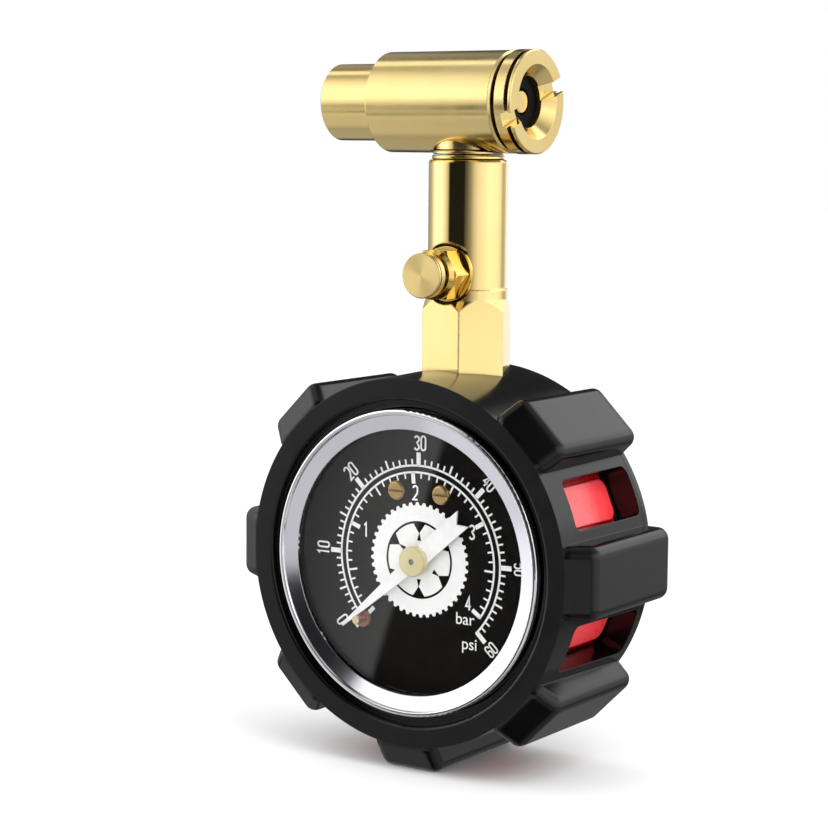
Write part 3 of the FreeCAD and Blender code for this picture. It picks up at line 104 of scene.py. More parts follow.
# A numeral's pitch, width and stroke, as shares of its unit. It is NUMERAL_TALL units high.
NUMERAL_TALL, NUMERAL_PITCH, NUMERAL_WIDE, NUMERAL_STROKE = 2.5, 1.36, 0.92, 0.336

# The toothed disc: how many teeth, the radii of their tips and roots, and of the hole, which the
# pointer's hub hides.
TEETH, TOOTH_TIP, TOOTH_ROOT, DISC_HOLE = 44, 9.45, 8.95, 1.6
# Where a tooth's rise ends and where its fall starts and ends, as shares of the pitch.
TOOTH_RISE, TOOTH_FALL, TOOTH_END = 0.16, 0.5, 0.66
# The dark lines on it stand LINES_LIFT above it: a ring, and six cut-outs inside the ring. Each of
# those is a wedge that points inwards and a smaller one that points outwards. A wedge has the
# radius of its base, the radius of its point and the half width of its base in degrees.
LINES_LIFT = 0.015
RING_RADIUS, RING_WIDTH = 6.2, 0.36
CUT_OUTS = 6
INWARD_WEDGE, OUTWARD_WEDGE = (6.1, 4.35, 11), (3.2, 4.6, 7)


# ---------------------------------------------------------------- node helpers

def grey(value):
    return (value,) * 3


class Nodes:
    """A node tree, with short ways to add nodes to it."""

    def __init__(self, tree):
        self.tree = tree

    def node(self, kind, **values):
        """A new node. Each value is for a property of that name, or else for a socket."""
        made = self.tree.nodes.new("ShaderNode" + kind)
        for key, value in values.items():
            if key in made.bl_rna.properties:
                setattr(made, key, value)
            else:
                made.inputs[key.replace("_", " ")].default_value = value
        return made

    def link(self, source, target):
        self.tree.links.new(source, target)

    def fill(self, sockets, values):
        """Sets each socket to its value, or links it where the value is a node's output."""
        for socket, value in zip(sockets, values):
            if isinstance(value, (int, float)):
                socket.default_value = value
            else:
                self.link(value, socket)

    def math(self, operation, *values):
        made = self.node("Math", operation=operation)
        self.fill(made.inputs, values)
        return made.outputs["Value"]


class Shader(Nodes):
    """A material's nodes. The fixed values are for sockets of its Principled node."""

    def __init__(self, name, **fixed):
        self.material = bpy.data.materials.new(name)
        self.material.use_nodes = True
        super().__init__(self.material.node_tree)
        self.surface = self.tree.nodes["Principled BSDF"]
        for key, value in fixed.items():
            self.surface.inputs[key.replace("_", " ")].default_value = value

    def place(self):
        return self.node("TexCoord").outputs["Object"]

    def stretched(self, scale):
        """Object coordinates with a scale for each axis, in waves per metre."""
        mapping = self.node("Mapping")
        mapping.inputs["Scale"].default_value = scale
        self.link(self.place(), mapping.inputs["Vector"])
        return mapping.outputs["Vector"]

    def noise(self, scale, detail=3.0, vector=None):
        made = self.node("TexNoise", Scale=scale, Detail=detail)
        self.link(vector or self.place(), made.inputs["Vector"])
        return made.outputs["Fac"]

    def ramp(self, source, stops):
        """A colour for each value of source, with a smooth change between the stops."""
        made = self.node("ValToRGB")
        ramp = made.color_ramp
        ramp.interpolation = "EASE"
        while len(ramp.elements) < len(stops):
            ramp.elements.new(0.5)
        for element, (position, colour) in zip(ramp.elements, stops):
            element.position = position
            element.color = (*colour, 1)
        self.link(source, made.inputs["Fac"])
        return made.outputs["Color"]

    def grey_ramp(self, source, low, high, start=0.3, end=0.7):
        return self.ramp(source, [(start, grey(low)), (end, grey(high))])

    def bump(self, height, strength, distance, normal=None):
        made = self.node("Bump", Strength=strength, Distance=distance)
        self.link(height, made.inputs["Height"])
        if normal is not None:
            self.link(normal, made.inputs["Normal"])
        return made.outputs["Normal"]

    def soft_edges(self, radius):
        return self.node("Bevel", samples=4, Radius=radius).outputs["Normal"]

    def set(self, socket, source):
        self.link(source, self.surface.inputs[socket])


def radius_about(shader, axis, centre):
    """Distance from a line along an axis, in metres, and the separate offsets from its centre.

    centre is a point on that line, in millimetres.
    """
    moved = shader.node("VectorMath", operation="SUBTRACT")
    shader.link(shader.place(), moved.inputs[0])
    moved.inputs[1].default_value = [value * MM for value in centre]
    split = shader.node("SeparateXYZ")
    shader.link(moved.outputs["Vector"], split.inputs["Vector"])
    kept = [split.outputs[name] for name in "XYZ" if name != axis]
    squares = [shader.math("MULTIPLY", part, part) for part in kept]
    return shader.math("SQRT", shader.math("ADD", *squares)), split


# ---------------------------------------------------------------- materials

BRASS_DEEP = (0.91, 0.69, 0.28)
BRASS_PALE = (0.93, 0.73, 0.33)


def brass(name, rough, rough_span, marks, edge=0.12 * MM, spun_about=None, spun=0.0,
          tones=(BRASS_DEEP, BRASS_PALE), shade_reach=1.5 * MM, metallic=1.0):
    """Brass with a slow change of tone, uneven polish, faint machining marks and painted crevice
    shade.

    rough_span is how far the roughness rises above rough. marks gives the height of the machining
    marks, and edge is the radius that sharp edges are softened to. spun_about is the axis that the
    part was turned about, and spun is how far that stretches its reflections. tones are the two
    colours that it runs between. Painted shade darkens the colour towards near black where another
    surface is nearer than shade_reach.
    """
    shader = Shader(name, Metallic=metallic, Anisotropic=spun)
    tone = shader.ramp(shader.noise(60, 3), [(0.3, tones[0]), (0.7, tones[1])])
    # Painted shade: ambient occlusion darkens the colour towards near black in crevices and between
    # parts.
    shelter = shader.node("AmbientOcclusion", samples=8, Distance=shade_reach)
    painted_shade = shader.ramp(shelter.outputs["AO"], [(0.30, (0.05, 0.03, 0.02)), (0.72, (1, 1, 1))])
    shade_darkened = shader.node("Mix", data_type="RGBA", blend_type="MULTIPLY")
    shade_darkened.inputs[0].default_value = 1.0
    shader.link(tone, shade_darkened.inputs[6])
    shader.link(painted_shade, shade_darkened.inputs[7])
    shader.set("Base Color", shade_darkened.outputs[2])
    shader.set("Roughness", shader.grey_ramp(shader.noise(300, 4), rough, rough + rough_span))
    normal = shader.bump(marks(shader), 0.2, 0.002 * MM, shader.soft_edges(edge))
    shader.set("Normal", normal)
    if spun_about:
        tangent = shader.node("Tangent", direction_type="RADIAL", axis=spun_about)
        shader.link(tangent.outputs["Tangent"], shader.surface.inputs["Tangent"])
    return shader.material


def marks_round_stem(shader):
    return shader.noise(1.0, 3, shader.stretched((90, 90, 9000)))


def marks_round_chuck(shader):
    return shader.noise(1.0, 3, shader.stretched((9000, 90, 90)))


def marks_spun(centre):
    """Concentric marks about the dial's direction through a centre."""
    def marks(shader):
        radius, _ = radius_about(shader, "Y", centre)
        wave = shader.node("CombineXYZ")
        shader.link(radius, wave.inputs["X"])
        return shader.noise(9000, 2, wave.outputs["Vector"])
    return marks


def brass_stem():
    return brass("brass_stem_polished", 0.05, 0.03, marks_round_stem, edge=0.45 * MM)


def brass_chuck():
    return brass("brass_chuck_satin", 0.15, 0.04, marks_round_chuck, spun_about="X", spun=0.6)


def brass_button():
    return brass("brass_button_spun", 0.28, 0.05, marks_spun((0, 0, BUTTON_Z)), edge=0.05 * MM,
                 spun_about="Y", spun=0.85)


def brass_hub():
    return brass("brass_hub_pale", 0.42, 0.06, marks_spun((0, 0, 0)), edge=0.04 * MM,
                 tones=((0.92, 0.80, 0.46), (0.95, 0.86, 0.56)), shade_reach=0.2 * MM, metallic=0.5)


def brass_stop():
    """The stop pin: a pale pin on a flange painted dark copper, as a painted dark reflection."""
    shader = Shader("brass_stop", Metallic=0.7)
    radius, _ = radius_about(shader, "Y", middle_of("stop_pin"))
    uneven = shader.math("MULTIPLY", shader.noise(3000, 3), 0.1 * MM)
    reach = shader.math("DIVIDE", shader.math("ADD", radius, uneven), 2 * MM)
    # Painted reflection: the flange is painted dark copper to stand in for the dark reflection on
    # it, and the pin stays pale.
    tones = [(0.33, (0.93, 0.80, 0.52)), (0.40, (0.45, 0.20, 0.13))]
    shader.set("Base Color", shader.ramp(reach, tones))
    shader.set("Roughness", shader.grey_ramp(shader.noise(1500, 3), 0.28, 0.4))
    shader.set("Normal", shader.soft_edges(0.05 * MM))
    return shader.material


def brass_aged():
    """The movement's and the dial screws' brass, browner than the outside."""
    return brass("brass_movement", 0.24, 0.12, marks_spun((0, 0, 0)), edge=0.04 * MM,
                 tones=((0.72, 0.46, 0.16), (0.86, 0.60, 0.26)))


def brass_bleeder():
    return brass("brass_bleeder", 0.10, 0.04, marks_round_stem, edge=0.1 * MM,
                 tones=((0.88, 0.58, 0.14), (0.92, 0.64, 0.18)))


def grained(name, tone, rough, grain, edge=None, **fixed):
    """A material with noise in its colour, its roughness and its surface.

    Each of the three starts with the noise's scale and detail. Then tone has its dark and its pale
    colour, rough its lowest and highest roughness, and grain its bumps' strength and depth.
    """
    shader = Shader(name, **fixed)
    scale, detail, dark, pale = tone
    shader.set("Base Color", shader.ramp(shader.noise(scale, detail), [(0.3, dark), (0.7, pale)]))
    scale, detail, low, high = rough
    shader.set("Roughness", shader.grey_ramp(shader.noise(scale, detail), low, high))
    scale, detail, strength, depth = grain
    smooth = shader.soft_edges(edge) if edge else None
    shader.set("Normal", shader.bump(shader.noise(scale, detail), strength, depth, smooth))
    return shader.material


def boot_rubber():
    return grained("boot_rubber", (60, 4, (0.0016, 0.0016, 0.0017), (0.0026, 0.0026, 0.0028)),
                   (200, 4, 0.17, 0.21), (9000, 3, 0.10, 0.01 * MM), edge=0.25 * MM,
                   Specular_IOR_Level=0.36)


def liner_red():
    """Red rubber with painted shade: paler on the raised pads than round them, and near black in
    front.
    """
    shader = Shader("liner_red", Specular_IOR_Level=1.0)
    radius, split = radius_about(shader, "Y", (0, 0, 0))
    # Painted shade: the lower the liner's face lies, the darker it is painted, so the floor round
    # the pads is dark red and the pad tops pale. Noise adds an uneven tone.
    height = shader.math("SUBTRACT", shader.math("MULTIPLY", radius, 1 / MM), LINER_LEVEL)
    shade_and_mottle = shader.math("ADD", height, shader.math("MULTIPLY", shader.noise(600, 3), 0.15))
    # Painted shade: the front end, in the dark crack beside the bezel, is painted near black.
    out_of_crack_shade = shader.math("GREATER_THAN", split.outputs["Y"], LINER_FRONT_Y * MM)
    red = shader.math("MULTIPLY", shader.math("ADD", shade_and_mottle, 0.5), out_of_crack_shade)
    # Painted shade runs from near black, through dark red round the pads, to pale coral on the pad
    # tops.
    tones = [(0.1, (0.01, 0.001, 0.001)), (0.5, (0.36, 0.001, 0.004)),
             (0.72, (0.40, 0.001, 0.004)), (1.0, (0.84, 0.045, 0.055))]
    shader.set("Base Color", shader.ramp(red, tones))
    shader.set("Roughness", shader.grey_ramp(shader.noise(700, 3), 0.26, 0.34))
    smooth = shader.soft_edges(0.12 * MM)
    shader.set("Normal", shader.bump(shader.noise(5000, 3), 0.10, 0.01 * MM, smooth))
    return shader.material


def bezel_chrome():
    """Bright chrome outside, with a softer, lilac-grey band on the cone inside its crest."""
    shader = Shader("bezel_chrome", Metallic=1.0)
    radius, _ = radius_about(shader, "Y", (0, 0, 0))
    outer = shader.math("GREATER_THAN", radius, BEZEL_CREASE * MM)
    tones = [(0.4, (0.74, 0.73, 0.80)), (0.6, (0.95, 0.95, 0.97))]
    shader.set("Base Color", shader.ramp(outer, tones))
    haze = shader.math("MULTIPLY", shader.noise(700, 4), 0.04)
    shader.set("Roughness", shader.math("ADD", shader.grey_ramp(outer, 0.09, 0.07, 0.4, 0.6), haze))
    smooth = shader.soft_edges(0.15 * MM)
    shader.set("Normal", shader.bump(shader.noise(1500, 2), 0.06, 0.01 * MM, smooth))
    return shader.material


def lens_glass():
    """Clear glass that lets the lamps through, so the dial behind it is lit."""
    shader = Shader("lens_glass", Transmission_Weight=1.0, IOR=1.46, Roughness=0.0)
    shader.surface.inputs["Base Color"].default_value = (0.985, 0.99, 0.985, 1)
    clear = shader.node("BsdfTransparent")
    path = shader.node("LightPath")
    mix = shader.node("MixShader")
    shader.link(path.outputs["Is Shadow Ray"], mix.inputs["Fac"])
    shader.link(shader.surface.outputs["BSDF"], mix.inputs[1])
    shader.link(clear.outputs["BSDF"], mix.inputs[2])
    shader.link(mix.outputs["Shader"], shader.tree.nodes["Material Output"].inputs["Surface"])
    return shader.material


def dial_black():
    return grained("dial_black", (500, 4, (0.0042, 0.0032, 0.0024), (0.0062, 0.0048, 0.0036)),
                   (2400, 3, 0.5, 0.62), (16000, 2, 0.04, 0.002 * MM), Specular_IOR_Level=0.08)


def white_paint(name, low, high):
    return grained(name, (900, 3, grey(low), grey(high)), (3000, 3, 0.42, 0.56),
                   (6000, 2, 0.06, 0.008 * MM), Specular_IOR_Level=0.35)


def seal_rubber():
    return grained("seal_rubber", (800, 3, grey(0.002), grey(0.004)), (1800, 3, 0.55, 0.75),
                   (4000, 3, 0.15, 0.015 * MM), Specular_IOR_Level=0.12)


def steel():
    return grained("steel_turned", (300, 3, (0.42, 0.42, 0.43), (0.58, 0.58, 0.59)),
                   (2000, 3, 0.25, 0.4), (3000, 2, 0.08, 0.01 * MM), Metallic=1.0)


def fibre():
    return grained("washer_fibre", (1500, 5, (0.22, 0.05, 0.03), (0.36, 0.09, 0.06)),
                   (2500, 4, 0.6, 0.8), (3500, 4, 0.3, 0.03 * MM), Specular_IOR_Level=0.3)


def paint_nodes():
    """Gives every CAD node its material."""
    plan = [
        (boot_rubber(), ["front_cover", "back_cover"]),
        (liner_red(), ["liner_ring"]),
        (bezel_chrome(), ["bezel_ring"]),
        (lens_glass(), ["lens"]),
        (dial_black(), ["dial_plate"]),
        (white_paint("pointer_white", 0.9, 0.97), ["pointer"]),
        (seal_rubber(), ["lens_gasket", "valve_seal", "poppet_seal", "bleeder_seal",
                         "swivel_seal"]),
        (fibre(), ["sealing_washer"]),
        (brass_button(), ["bleeder_button"]),
        (brass_chuck(), ["chuck_body", "end_cap", "ring_nut", "depressor_pin", "swivel_collar",
                         "swivel_washer"]),
        (brass_stem(), ["stem_body"]),
        (brass_bleeder(), ["bleeder_body", "bleeder_washer", "bleeder_plunger"]),
        (brass_hub(), ["pointer_hub"]),
        (brass_stop(), ["stop_pin"]),
        (brass_aged(), ["dial_screws", "dial_posts", "socket_block", "bourdon_tube", "tube_tip",
                        "sector_gear", "link_bar", "movement_front_plate", "movement_back_plate",
                        "movement_pillars", "hairspring", "spring_stud", "check_poppet"]),
        (steel(), ["gauge_case", "pinion_arbor", "sector_arbor", "sector_rivet", "link_rivet",
                   "movement_screws", "mount_screws", "bleeder_spring", "check_spring",
                   "keeper_ring"]),
    ]
    for material, names in plan:
        for name in names:
            slots = NODES[name].data.materials
            slots.clear()
            slots.append(material)


# ---------------------------------------------------------------- dial print

class Print:
    """Flat shapes on the dial, gathered into one thin raised mesh."""

    def __init__(self, name, lift=0.0):
        self.name = name
        self.mesh = bmesh.new()
        self.lift = lift

    def face(self, corners):
        """One flat polygon from (x, z) corners, in millimetres."""
        front = (DIAL_FRONT - PRINT_HIGH - self.lift) * MM
        back = (DIAL_FRONT + PRINT_ROOT) * MM
        near = [self.mesh.verts.new((x * MM, front, z * MM)) for x, z in corners]
        far = [self.mesh.verts.new((x * MM, back, z * MM)) for x, z in corners]
        self.mesh.faces.new(near)
        self.mesh.faces.new(far[::-1])
        for index in range(len(corners)):
            following = (index + 1) % len(corners)
            self.mesh.faces.new((near[index], far[index], far[following], near[following]))

    def ribbon(self, points, width, closed=False):
        """A band of even width along a line of (x, z) points."""
        count = len(points)
        left, right = [], []
        for index, point in enumerate(points):
            before = points[index - 1] if closed or index else point
            after = points[(index + 1) % count] if closed or index < count - 1 else point
            arms = [(point[0] - before[0], point[1] - before[1]),
                    (after[0] - point[0], after[1] - point[1])]
            arms = [(x / math.hypot(x, z), z / math.hypot(x, z))
                    for x, z in arms if math.hypot(x, z) > 1e-9]
            along = (sum(arm[0] for arm in arms), sum(arm[1] for arm in arms))
            size = math.hypot(*along)
            along = (along[0] / size, along[1] / size)
            cosine = max(0.5, along[0] * arms[0][0] + along[1] * arms[0][1])
            reach = width / 2 / cosine
            left.append((point[0] - along[1] * reach, point[1] + along[0] * reach))
            right.append((point[0] + along[1] * reach, point[1] - along[0] * reach))
        for index in range(count if closed else count - 1):
            following = (index + 1) % count
            self.face([left[index], right[index], right[following], left[following]])

    def arc(self, radius, start, end, width, steps=120):
        points = [polar(radius, start + (end - start) * step / steps) for step in range(steps + 1)]
        self.ribbon(points, width)

    def finish(self, material):
        bmesh.ops.recalc_face_normals(self.mesh, faces=self.mesh.faces)
        data = bpy.data.meshes.new(self.name)
        self.mesh.to_mesh(data)
        self.mesh.free()
        data.materials.append(material)
        piece = bpy.data.objects.new(self.name, data)
        bpy.context.collection.objects.link(piece)
        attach(piece, "gauge")


def polar(radius, angle):
    turn = math.radians(angle)
    return radius * math.cos(turn), radius * math.sin(turn)


def bend(centre, radius, start, end, steps=8):
    """Points on an arc, for the round parts of a numeral."""
    points = []
    for step in range(steps + 1):
        turn = math.radians(start + (end - start) * step / steps)
        points.append((centre[0] + radius * math.cos(turn), centre[1] + radius * math.sin(turn)))
    return points


def numeral_strokes(digit):
    """Centre lines of a narrow numeral in a box 1 wide and 2.5 high, about its own centre.

    Each is a list of (x, z) points and whether it closes on itself.
    """
    r, top, low = 0.5, 0.75, -0.75
    if digit == "0":
        return [(bend((0, top), r, 0, 180) + bend((0, low), r, 180, 360), True)]
    if digit == "1":
        return [([(-0.32, 0.82), (0.1, 1.25), (0.1, -1.25)], False)]
    if digit == "2":
        return [(bend((0, top), r, 170, 0) + bend((-0.3, 0.3), 0.8, 0, -38, 4)
                 + [(-0.47, -1.2), (0.52, -1.2)], False)]
    if digit == "3":
        upper = bend((0, top - 0.08), r, 165, -60)
        lower = bend((0, low + 0.02), r, 60, -165)
        return [(upper + [(0.02, 0.06)] + lower, False), ([(-0.1, 0.06), (0.12, 0.06)], False)]
    if digit == "4":
        return [([(0.22, -1.25), (0.22, 1.2), (-0.5, -0.55), (0.58, -0.55)], False)]
    if digit == "5":
        return [([(0.45, 1.2), (-0.38, 1.2), (-0.44, 0.12)] + bend((0, -0.28), r, 125, 0, 6)
                 + bend((0, low), r, 0, -165), False)]
    return [([(0.5, 0.62)] + bend((0, top), r, 0, 180) + bend((0, low), r, 180, 360)
             + bend((0, -0.35), r, 0, 160, 6), False)]


def numeral(sheet, text, centre, height, up):
    """Narrow numerals side by side, centred on a point, with their tops towards the angle up."""
    unit = height / NUMERAL_TALL
    pitch = NUMERAL_PITCH * unit
    upward = Vector(polar(1, up))
    along = Vector((upward.y, -upward.x))
    for index, digit in enumerate(text):
        middle = Vector(centre) + along * pitch * (index - (len(text) - 1) / 2)
        for line, closed in numeral_strokes(digit):
            points = [tuple(middle + along * x * unit * NUMERAL_WIDE + upward * z * unit)
                      for x, z in line]
            sheet.ribbon(points, NUMERAL_STROKE * unit, closed)


def make_scale(unit, material, marks, step, line, before, after, kinds):
    sheet = Print(f"print_{unit}_scale")
    sheet.arc(line, SCALE_ZERO + before, SCALE_ZERO - marks * step - after, LINE_WIDTH)
    tens, fives, ones = kinds
    for mark in range(marks + 1):
        reach, width = tens if mark % 10 == 0 else fives if mark % 5 == 0 else ones
        angle = SCALE_ZERO - step * mark
        sheet.ribbon([polar(line, angle), polar(reach, angle)], width)
    sheet.finish(material)


def make_numerals(material):
    sheet = Print("print_numerals")
    for text, angle, up, height in PSI_NUMERALS:
        numeral(sheet, text, polar(PSI_CIRCLE, angle), height, up)
    for text, place in BAR_NUMERALS:
        numeral(sheet, text, place, BAR_HEIGHT, 90)
    sheet.finish(material)


def make_word(text, centre, material):
    """A short word in the built-in typeface, as a thin mesh on the dial."""
    curve = bpy.data.curves.new("word_" + text, "FONT")
    curve.body = text
    curve.size = WORD_HEIGHT
    curve.align_x = "CENTER"
    curve.align_y = "CENTER"
    curve.extrude = PRINT_HIGH / 2
    source = bpy.data.objects.new("word_" + text, curve)
    bpy.context.collection.objects.link(source)
    bpy.context.view_layer.update()
    graph = bpy.context.evaluated_depsgraph_get()
    data = bpy.data.meshes.new_from_object(source.evaluated_get(graph))
    bpy.data.objects.remove(source)
    turn = Matrix.Rotation(math.radians(90), 4, "X")
    place = Matrix.Translation((centre[0] * MM, (DIAL_FRONT - PRINT_HIGH / 2) * MM, centre[1] * MM))
    data.transform(place @ turn @ Matrix.Scale(MM, 4))
    data.materials.clear()
    data.materials.append(material)
    piece = bpy.data.objects.new("print_word_" + text, data)
    bpy.context.collection.objects.link(piece)
    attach(piece, "gauge")


def make_emblem(white, black):
    """A plain toothed disc in the middle of the dial, with a thin dark ring and dark cut-outs."""
    disc = Print("print_toothed_disc")
    step = 360 / TEETH
    outline = [(0, TOOTH_ROOT), (TOOTH_RISE, TOOTH_TIP), (TOOTH_FALL, TOOTH_TIP),
               (TOOTH_END, TOOTH_ROOT), (1, TOOTH_ROOT)]
    for index in range(TEETH):
        for (first, high), (last, next_high) in zip(outline, outline[1:]):
            start, end = (index + first) * step, (index + last) * step
            disc.face([polar(DISC_HOLE, start), polar(high, start),
                       polar(next_high, end), polar(DISC_HOLE, end)])
    disc.finish(white)
    dark = Print("print_disc_lines", lift=LINES_LIFT)
    dark.ribbon([polar(RING_RADIUS, turn) for turn in range(0, 360, 3)], RING_WIDTH, closed=True)
    for index in range(CUT_OUTS):
        angle = 90 + 360 / CUT_OUTS * index
        base, point, half = INWARD_WEDGE
        dark.face([polar(base, angle - half), polar(base, angle), polar(base, angle + half),
                   polar(point, angle)])
        base, point, half = OUTWARD_WEDGE
        dark.face([polar(point, angle), polar(base, angle + half), polar(base, angle - half)])
    dark.finish(black)


def make_dial_print():
    white = white_paint("dial_print_white", 0.93, 0.98)
    black = dial_black()
    for unit, sizes in SCALES.items():
        make_scale(unit, white, **sizes)
    make_numerals(white)
    for text, centre in WORDS:
        make_word(text, centre, white)
    make_emblem(white, black)


# ---------------------------------------------------------------- studio

FLOOR_HALF = 3000


def hide_from_reflections(thing):
    """Leaves what the metal and the lens reflect to the world alone."""
    thing.visible_glossy = False
    thing.visible_transmission = False


def make_floor():
    half = FLOOR_HALF * MM
    corners = [(-half, -half), (half, -half), (half, half), (-half, half)]
    data = bpy.data.meshes.new("floor")
    data.from_pydata([(x, y, FLOOR_Z) for x, y in corners], [], [(0, 1, 2, 3)])
    floor = bpy.data.objects.new("floor", data)
    bpy.context.collection.objects.link(floor)
    shader = Shader("floor_white", Roughness=0.8, Specular_IOR_Level=0.2)
    shader.set("Base Color", shader.grey_ramp(shader.noise(3, 2), 0.60, 0.64))
    data.materials.append(shader.material)
    hide_from_reflections(floor)


# Brightness of the studio's walls: degrees round from straight in front of the dial, counted
# towards +X, then the brightness there.
WALL_LEVELS = [
    (-146, 0.03), (-140, 0.2), (-135, 0.35), (-112, 0.4), (-98, 0.6), (-88, 1.0), (-80, 1.35),
    (-66, 1.7), (-53, 1.5), (-42, 1.15), (-31, 0.75), (-21, 0.2), (-12, 0.03), (-3, 0.003),
    (10, 0.008), (17, 0.035), (24, 0.07), (32, 0.14), (41, 0.32), (50, 0.65), (58, 0.85), (67, 1.0),
    (96, 1.3), (129, 1.25), (142, 1.0), (150, 0.75), (159, 0.5), (170, 0.6), (185, 1.1), (200, 1.1),
    (207, 0.06), (214, 0.03),
]
# How that changes with height: degrees above the horizon, then the share of the wall's brightness.
HEIGHT_LEVELS = [
    (-90, 0.2), (-56, 0.34), (-45, 0.39), (-36, 0.48), (-28, 0.45), (-25.5, 0.5), (-24.5, 0.08),
    (-22.5, 0.08), (-21.5, 0.55), (-12, 0.8), (0, 1.08), (10, 1.2), (21.5, 1.6), (33, 1.17),
    (43, 0.82), (50, 0.5), (54.5, 0.3), (60, 0.5), (90, 0.5),
]
# Panels hung in front of the walls: from and to round, from and to in height, brightness and
# soft edge.
PANELS = [
    (-24, 40, -40, -6.8, 0.70, 2.5),
    (-60, -41.5, -32, -16, 0.85, 2.0),
    (-33.5, -17, -32, -16, 0.68, 2.0),
    (-43, -32, -32, -26.3, 0.68, 1.2),
    (-24.5, 24, -4.4, 40, 0.015, 1.5),
    (-46, -23.5, 4, 22, 1.5, 1.5),
    (60, 88, -12, -4.2, 1.2, 2.0),
    (-112, -90, 49, 62, 1.3, 4.0),
    (-146, -90, -75, -30, 0.42, 6.0),
    (136, 183, 8, 55, 1.6, 6.0),
    (187, 212, 12, 50, 0.06, 5.0),
    (170, 214, -50, -20, 0.22, 8.0),
]
# A dark card across from the dial: from and to round, from and to in height, soft edge. Its
# levels run round from the first place in CARD_SPAN to the second, and lean by CARD_LEAN for each
# degree above CARD_MIDDLE.
CARD = (-38.5, -29.0, -15.5, -5.0, 1.0)
CARD_SPAN = (-40, -28)
CARD_MIDDLE, CARD_LEAN = -7.5, 0.3
CARD_LEVELS = [(-38, 0.16), (-33.2, 0.72), (-33.0, 0.04), (-29, 0.03)]
# The highest level that a list can hold, and the even level that lights what isn't shiny.
BRIGHTEST, SOFT_LIGHT = 2.0, 1.8


class Studio(Nodes):
    """The world's nodes. around and height are the direction looked in, in degrees."""

    def __init__(self):
        world = bpy.data.worlds.new("studio")
        bpy.context.scene.world = world
        world.use_nodes = True
        world.cycles.sampling_method = "NONE"
        super().__init__(world.node_tree)
        self.tree.nodes.clear()
        split = self.node("SeparateXYZ")
        self.link(self.node("TexCoord").outputs["Generated"], split.inputs["Vector"])
        x, y, z = (split.outputs[name] for name in "XYZ")
        turn = self.math("ARCTAN2", x, self.math("MULTIPLY", y, -1.0))
        self.around = self.math("WRAP", self.math("MULTIPLY", turn, 180 / math.pi),
                                WALL_LEVELS[-1][0], WALL_LEVELS[0][0])
        self.height = self.math("MULTIPLY", self.math("ARCSINE", z), 180 / math.pi)

    def mixed(self, share, first, second):
        made = self.node("Mix", data_type="FLOAT")
        self.fill((made.inputs[0], made.inputs[2], made.inputs[3]), (share, first, second))
        return made.outputs[0]

    def levels(self, source, low, high, stops):
        """A brightness for each value of source from low to high, straight between the stops."""
        made = self.node("ValToRGB")
        elements = made.color_ramp.elements
        while len(elements) < len(stops):
            elements.new(0.5)
        for element, (position, value) in zip(elements, stops):
            element.position = (position - low) / (high - low)
            element.color = (*grey(value / BRIGHTEST), 1)
        share = self.math("DIVIDE", self.math("SUBTRACT", source, low), high - low)
        self.link(share, made.inputs["Fac"])
        return self.math("MULTIPLY", made.outputs["Color"], BRIGHTEST)

    def step(self, source, place, soft):
        """Nought below a place and one above it, with a soft change between."""
        made = self.node("MapRange", interpolation_type="SMOOTHSTEP")
        self.fill(made.inputs, (source, place - soft / 2, place + soft / 2))
        return made.outputs["Result"]

    def span(self, source, low, high, soft):
        """One between two places and nought outside them."""
        return self.math("SUBTRACT", self.step(source, low, soft), self.step(source, high, soft))

    def inside(self, low_round, high_round, low_height, high_height, soft):
        return self.math("MULTIPLY", self.span(self.around, low_round, high_round, soft),
                         self.span(self.height, low_height, high_height, soft))


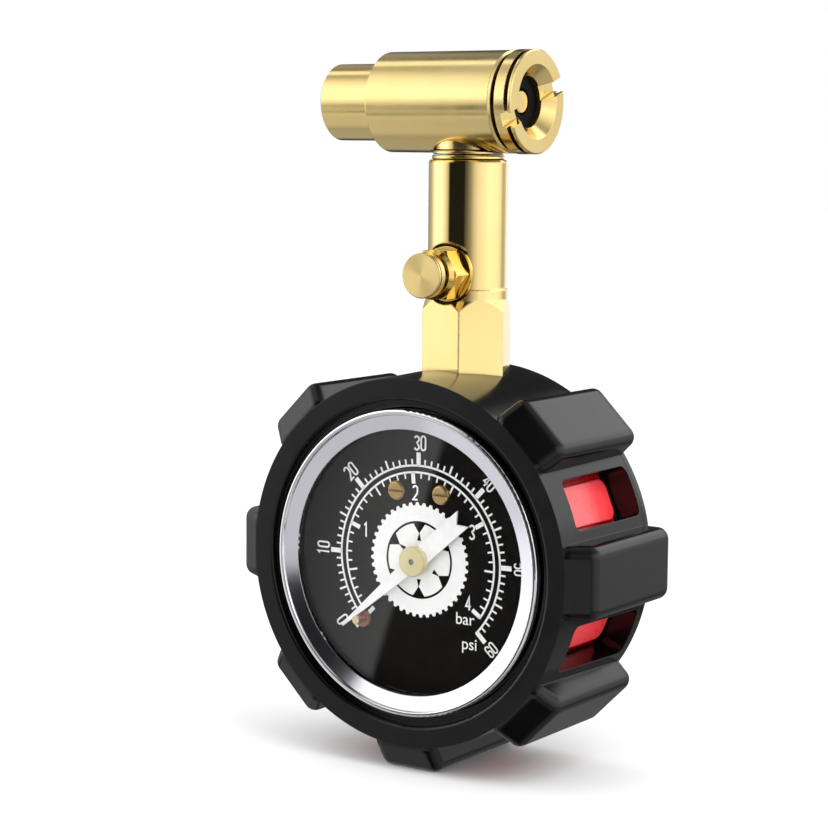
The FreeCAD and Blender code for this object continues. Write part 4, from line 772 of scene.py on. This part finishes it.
def make_studio():
    """White for the eye, even for soft light, and light and dark panels for what is reflected."""
    studio = Studio()
    walls = studio.levels(studio.around, WALL_LEVELS[0][0], WALL_LEVELS[-1][0], WALL_LEVELS)
    seen = studio.math("MULTIPLY", walls, studio.levels(studio.height, -90, 90, HEIGHT_LEVELS))
    for *place, level, soft in PANELS:
        seen = studio.mixed(studio.inside(*place, soft), seen, level)
    lean = studio.math("MULTIPLY", studio.math("SUBTRACT", studio.height, CARD_MIDDLE), CARD_LEAN)
    card = studio.levels(studio.math("SUBTRACT", studio.around, lean), *CARD_SPAN, CARD_LEVELS)
    seen = studio.mixed(studio.inside(*CARD), seen, card)

    path = studio.node("LightPath")
    soft_light = studio.math("GREATER_THAN", path.outputs["Diffuse Depth"], 0.5)
    level = studio.mixed(soft_light, seen, SOFT_LIGHT)
    level = studio.mixed(path.outputs["Is Camera Ray"], level, 1.0)
    background = studio.node("Background", Color=(1, 1, 1, 1))
    studio.link(level, background.inputs["Strength"])
    output = studio.node("OutputWorld")
    studio.link(background.outputs["Background"], output.inputs["Surface"])


# Each lamp's place and side, in millimetres, and its power in watts.
LAMPS = [("key", (550, -250, 750), 500, 4.0), ("fill", (-700, -500, 450), 600, 1.5)]
LAMP_TARGET = (0, 0, 20)


def make_lamps():
    """A soft key lamp high on the right and a weaker fill on the left, for shape on the rubber."""
    for name, place, side, power in LAMPS:
        light = bpy.data.lights.new(name, "AREA")
        light.size = side * MM
        light.energy = power
        lamp = bpy.data.objects.new(name, light)
        lamp.location = Vector(place) * MM
        aim = Vector(LAMP_TARGET) - Vector(place)
        lamp.rotation_euler = aim.to_track_quat("-Z", "Y").to_euler()
        hide_from_reflections(lamp)
        bpy.context.collection.objects.link(lamp)


CAMERA_AZIMUTH, CAMERA_ELEVATION, CAMERA_ROLL = 33.8, 6.7, 0.5
CAMERA_DISTANCE, CAMERA_LENS, SENSOR_WIDTH = 374.0, 100.0, 36.0
AIM_FROM_DIAL = (-2.6, 1.6, 23.5)


def make_camera():
    data = bpy.data.cameras.new("camera")
    data.lens = CAMERA_LENS
    data.sensor_width = SENSOR_WIDTH
    data.clip_start = 10 * MM
    camera = bpy.data.objects.new("camera", data)
    bpy.context.collection.objects.link(camera)
    azimuth, elevation = math.radians(CAMERA_AZIMUTH), math.radians(CAMERA_ELEVATION)
    aim = Vector((AIM_FROM_DIAL[0], DIAL_FRONT + AIM_FROM_DIAL[1], AIM_FROM_DIAL[2])) * MM
    outward = Vector((math.sin(azimuth) * math.cos(elevation),
                      -math.cos(azimuth) * math.cos(elevation), math.sin(elevation)))
    camera.location = aim + outward * CAMERA_DISTANCE * MM
    facing = outward.to_track_quat("Z", "Y").to_matrix().to_4x4()
    camera.matrix_world = Matrix.Translation(camera.location) @ facing @ Matrix.Rotation(
        math.radians(CAMERA_ROLL), 4, "Z")
    bpy.context.scene.camera = camera


bpy.context.scene.view_settings.view_transform = "Standard"
paint_nodes()
make_dial_print()
make_floor()
make_studio()
make_lamps()
make_camera()
bpy.context.view_layer.update()
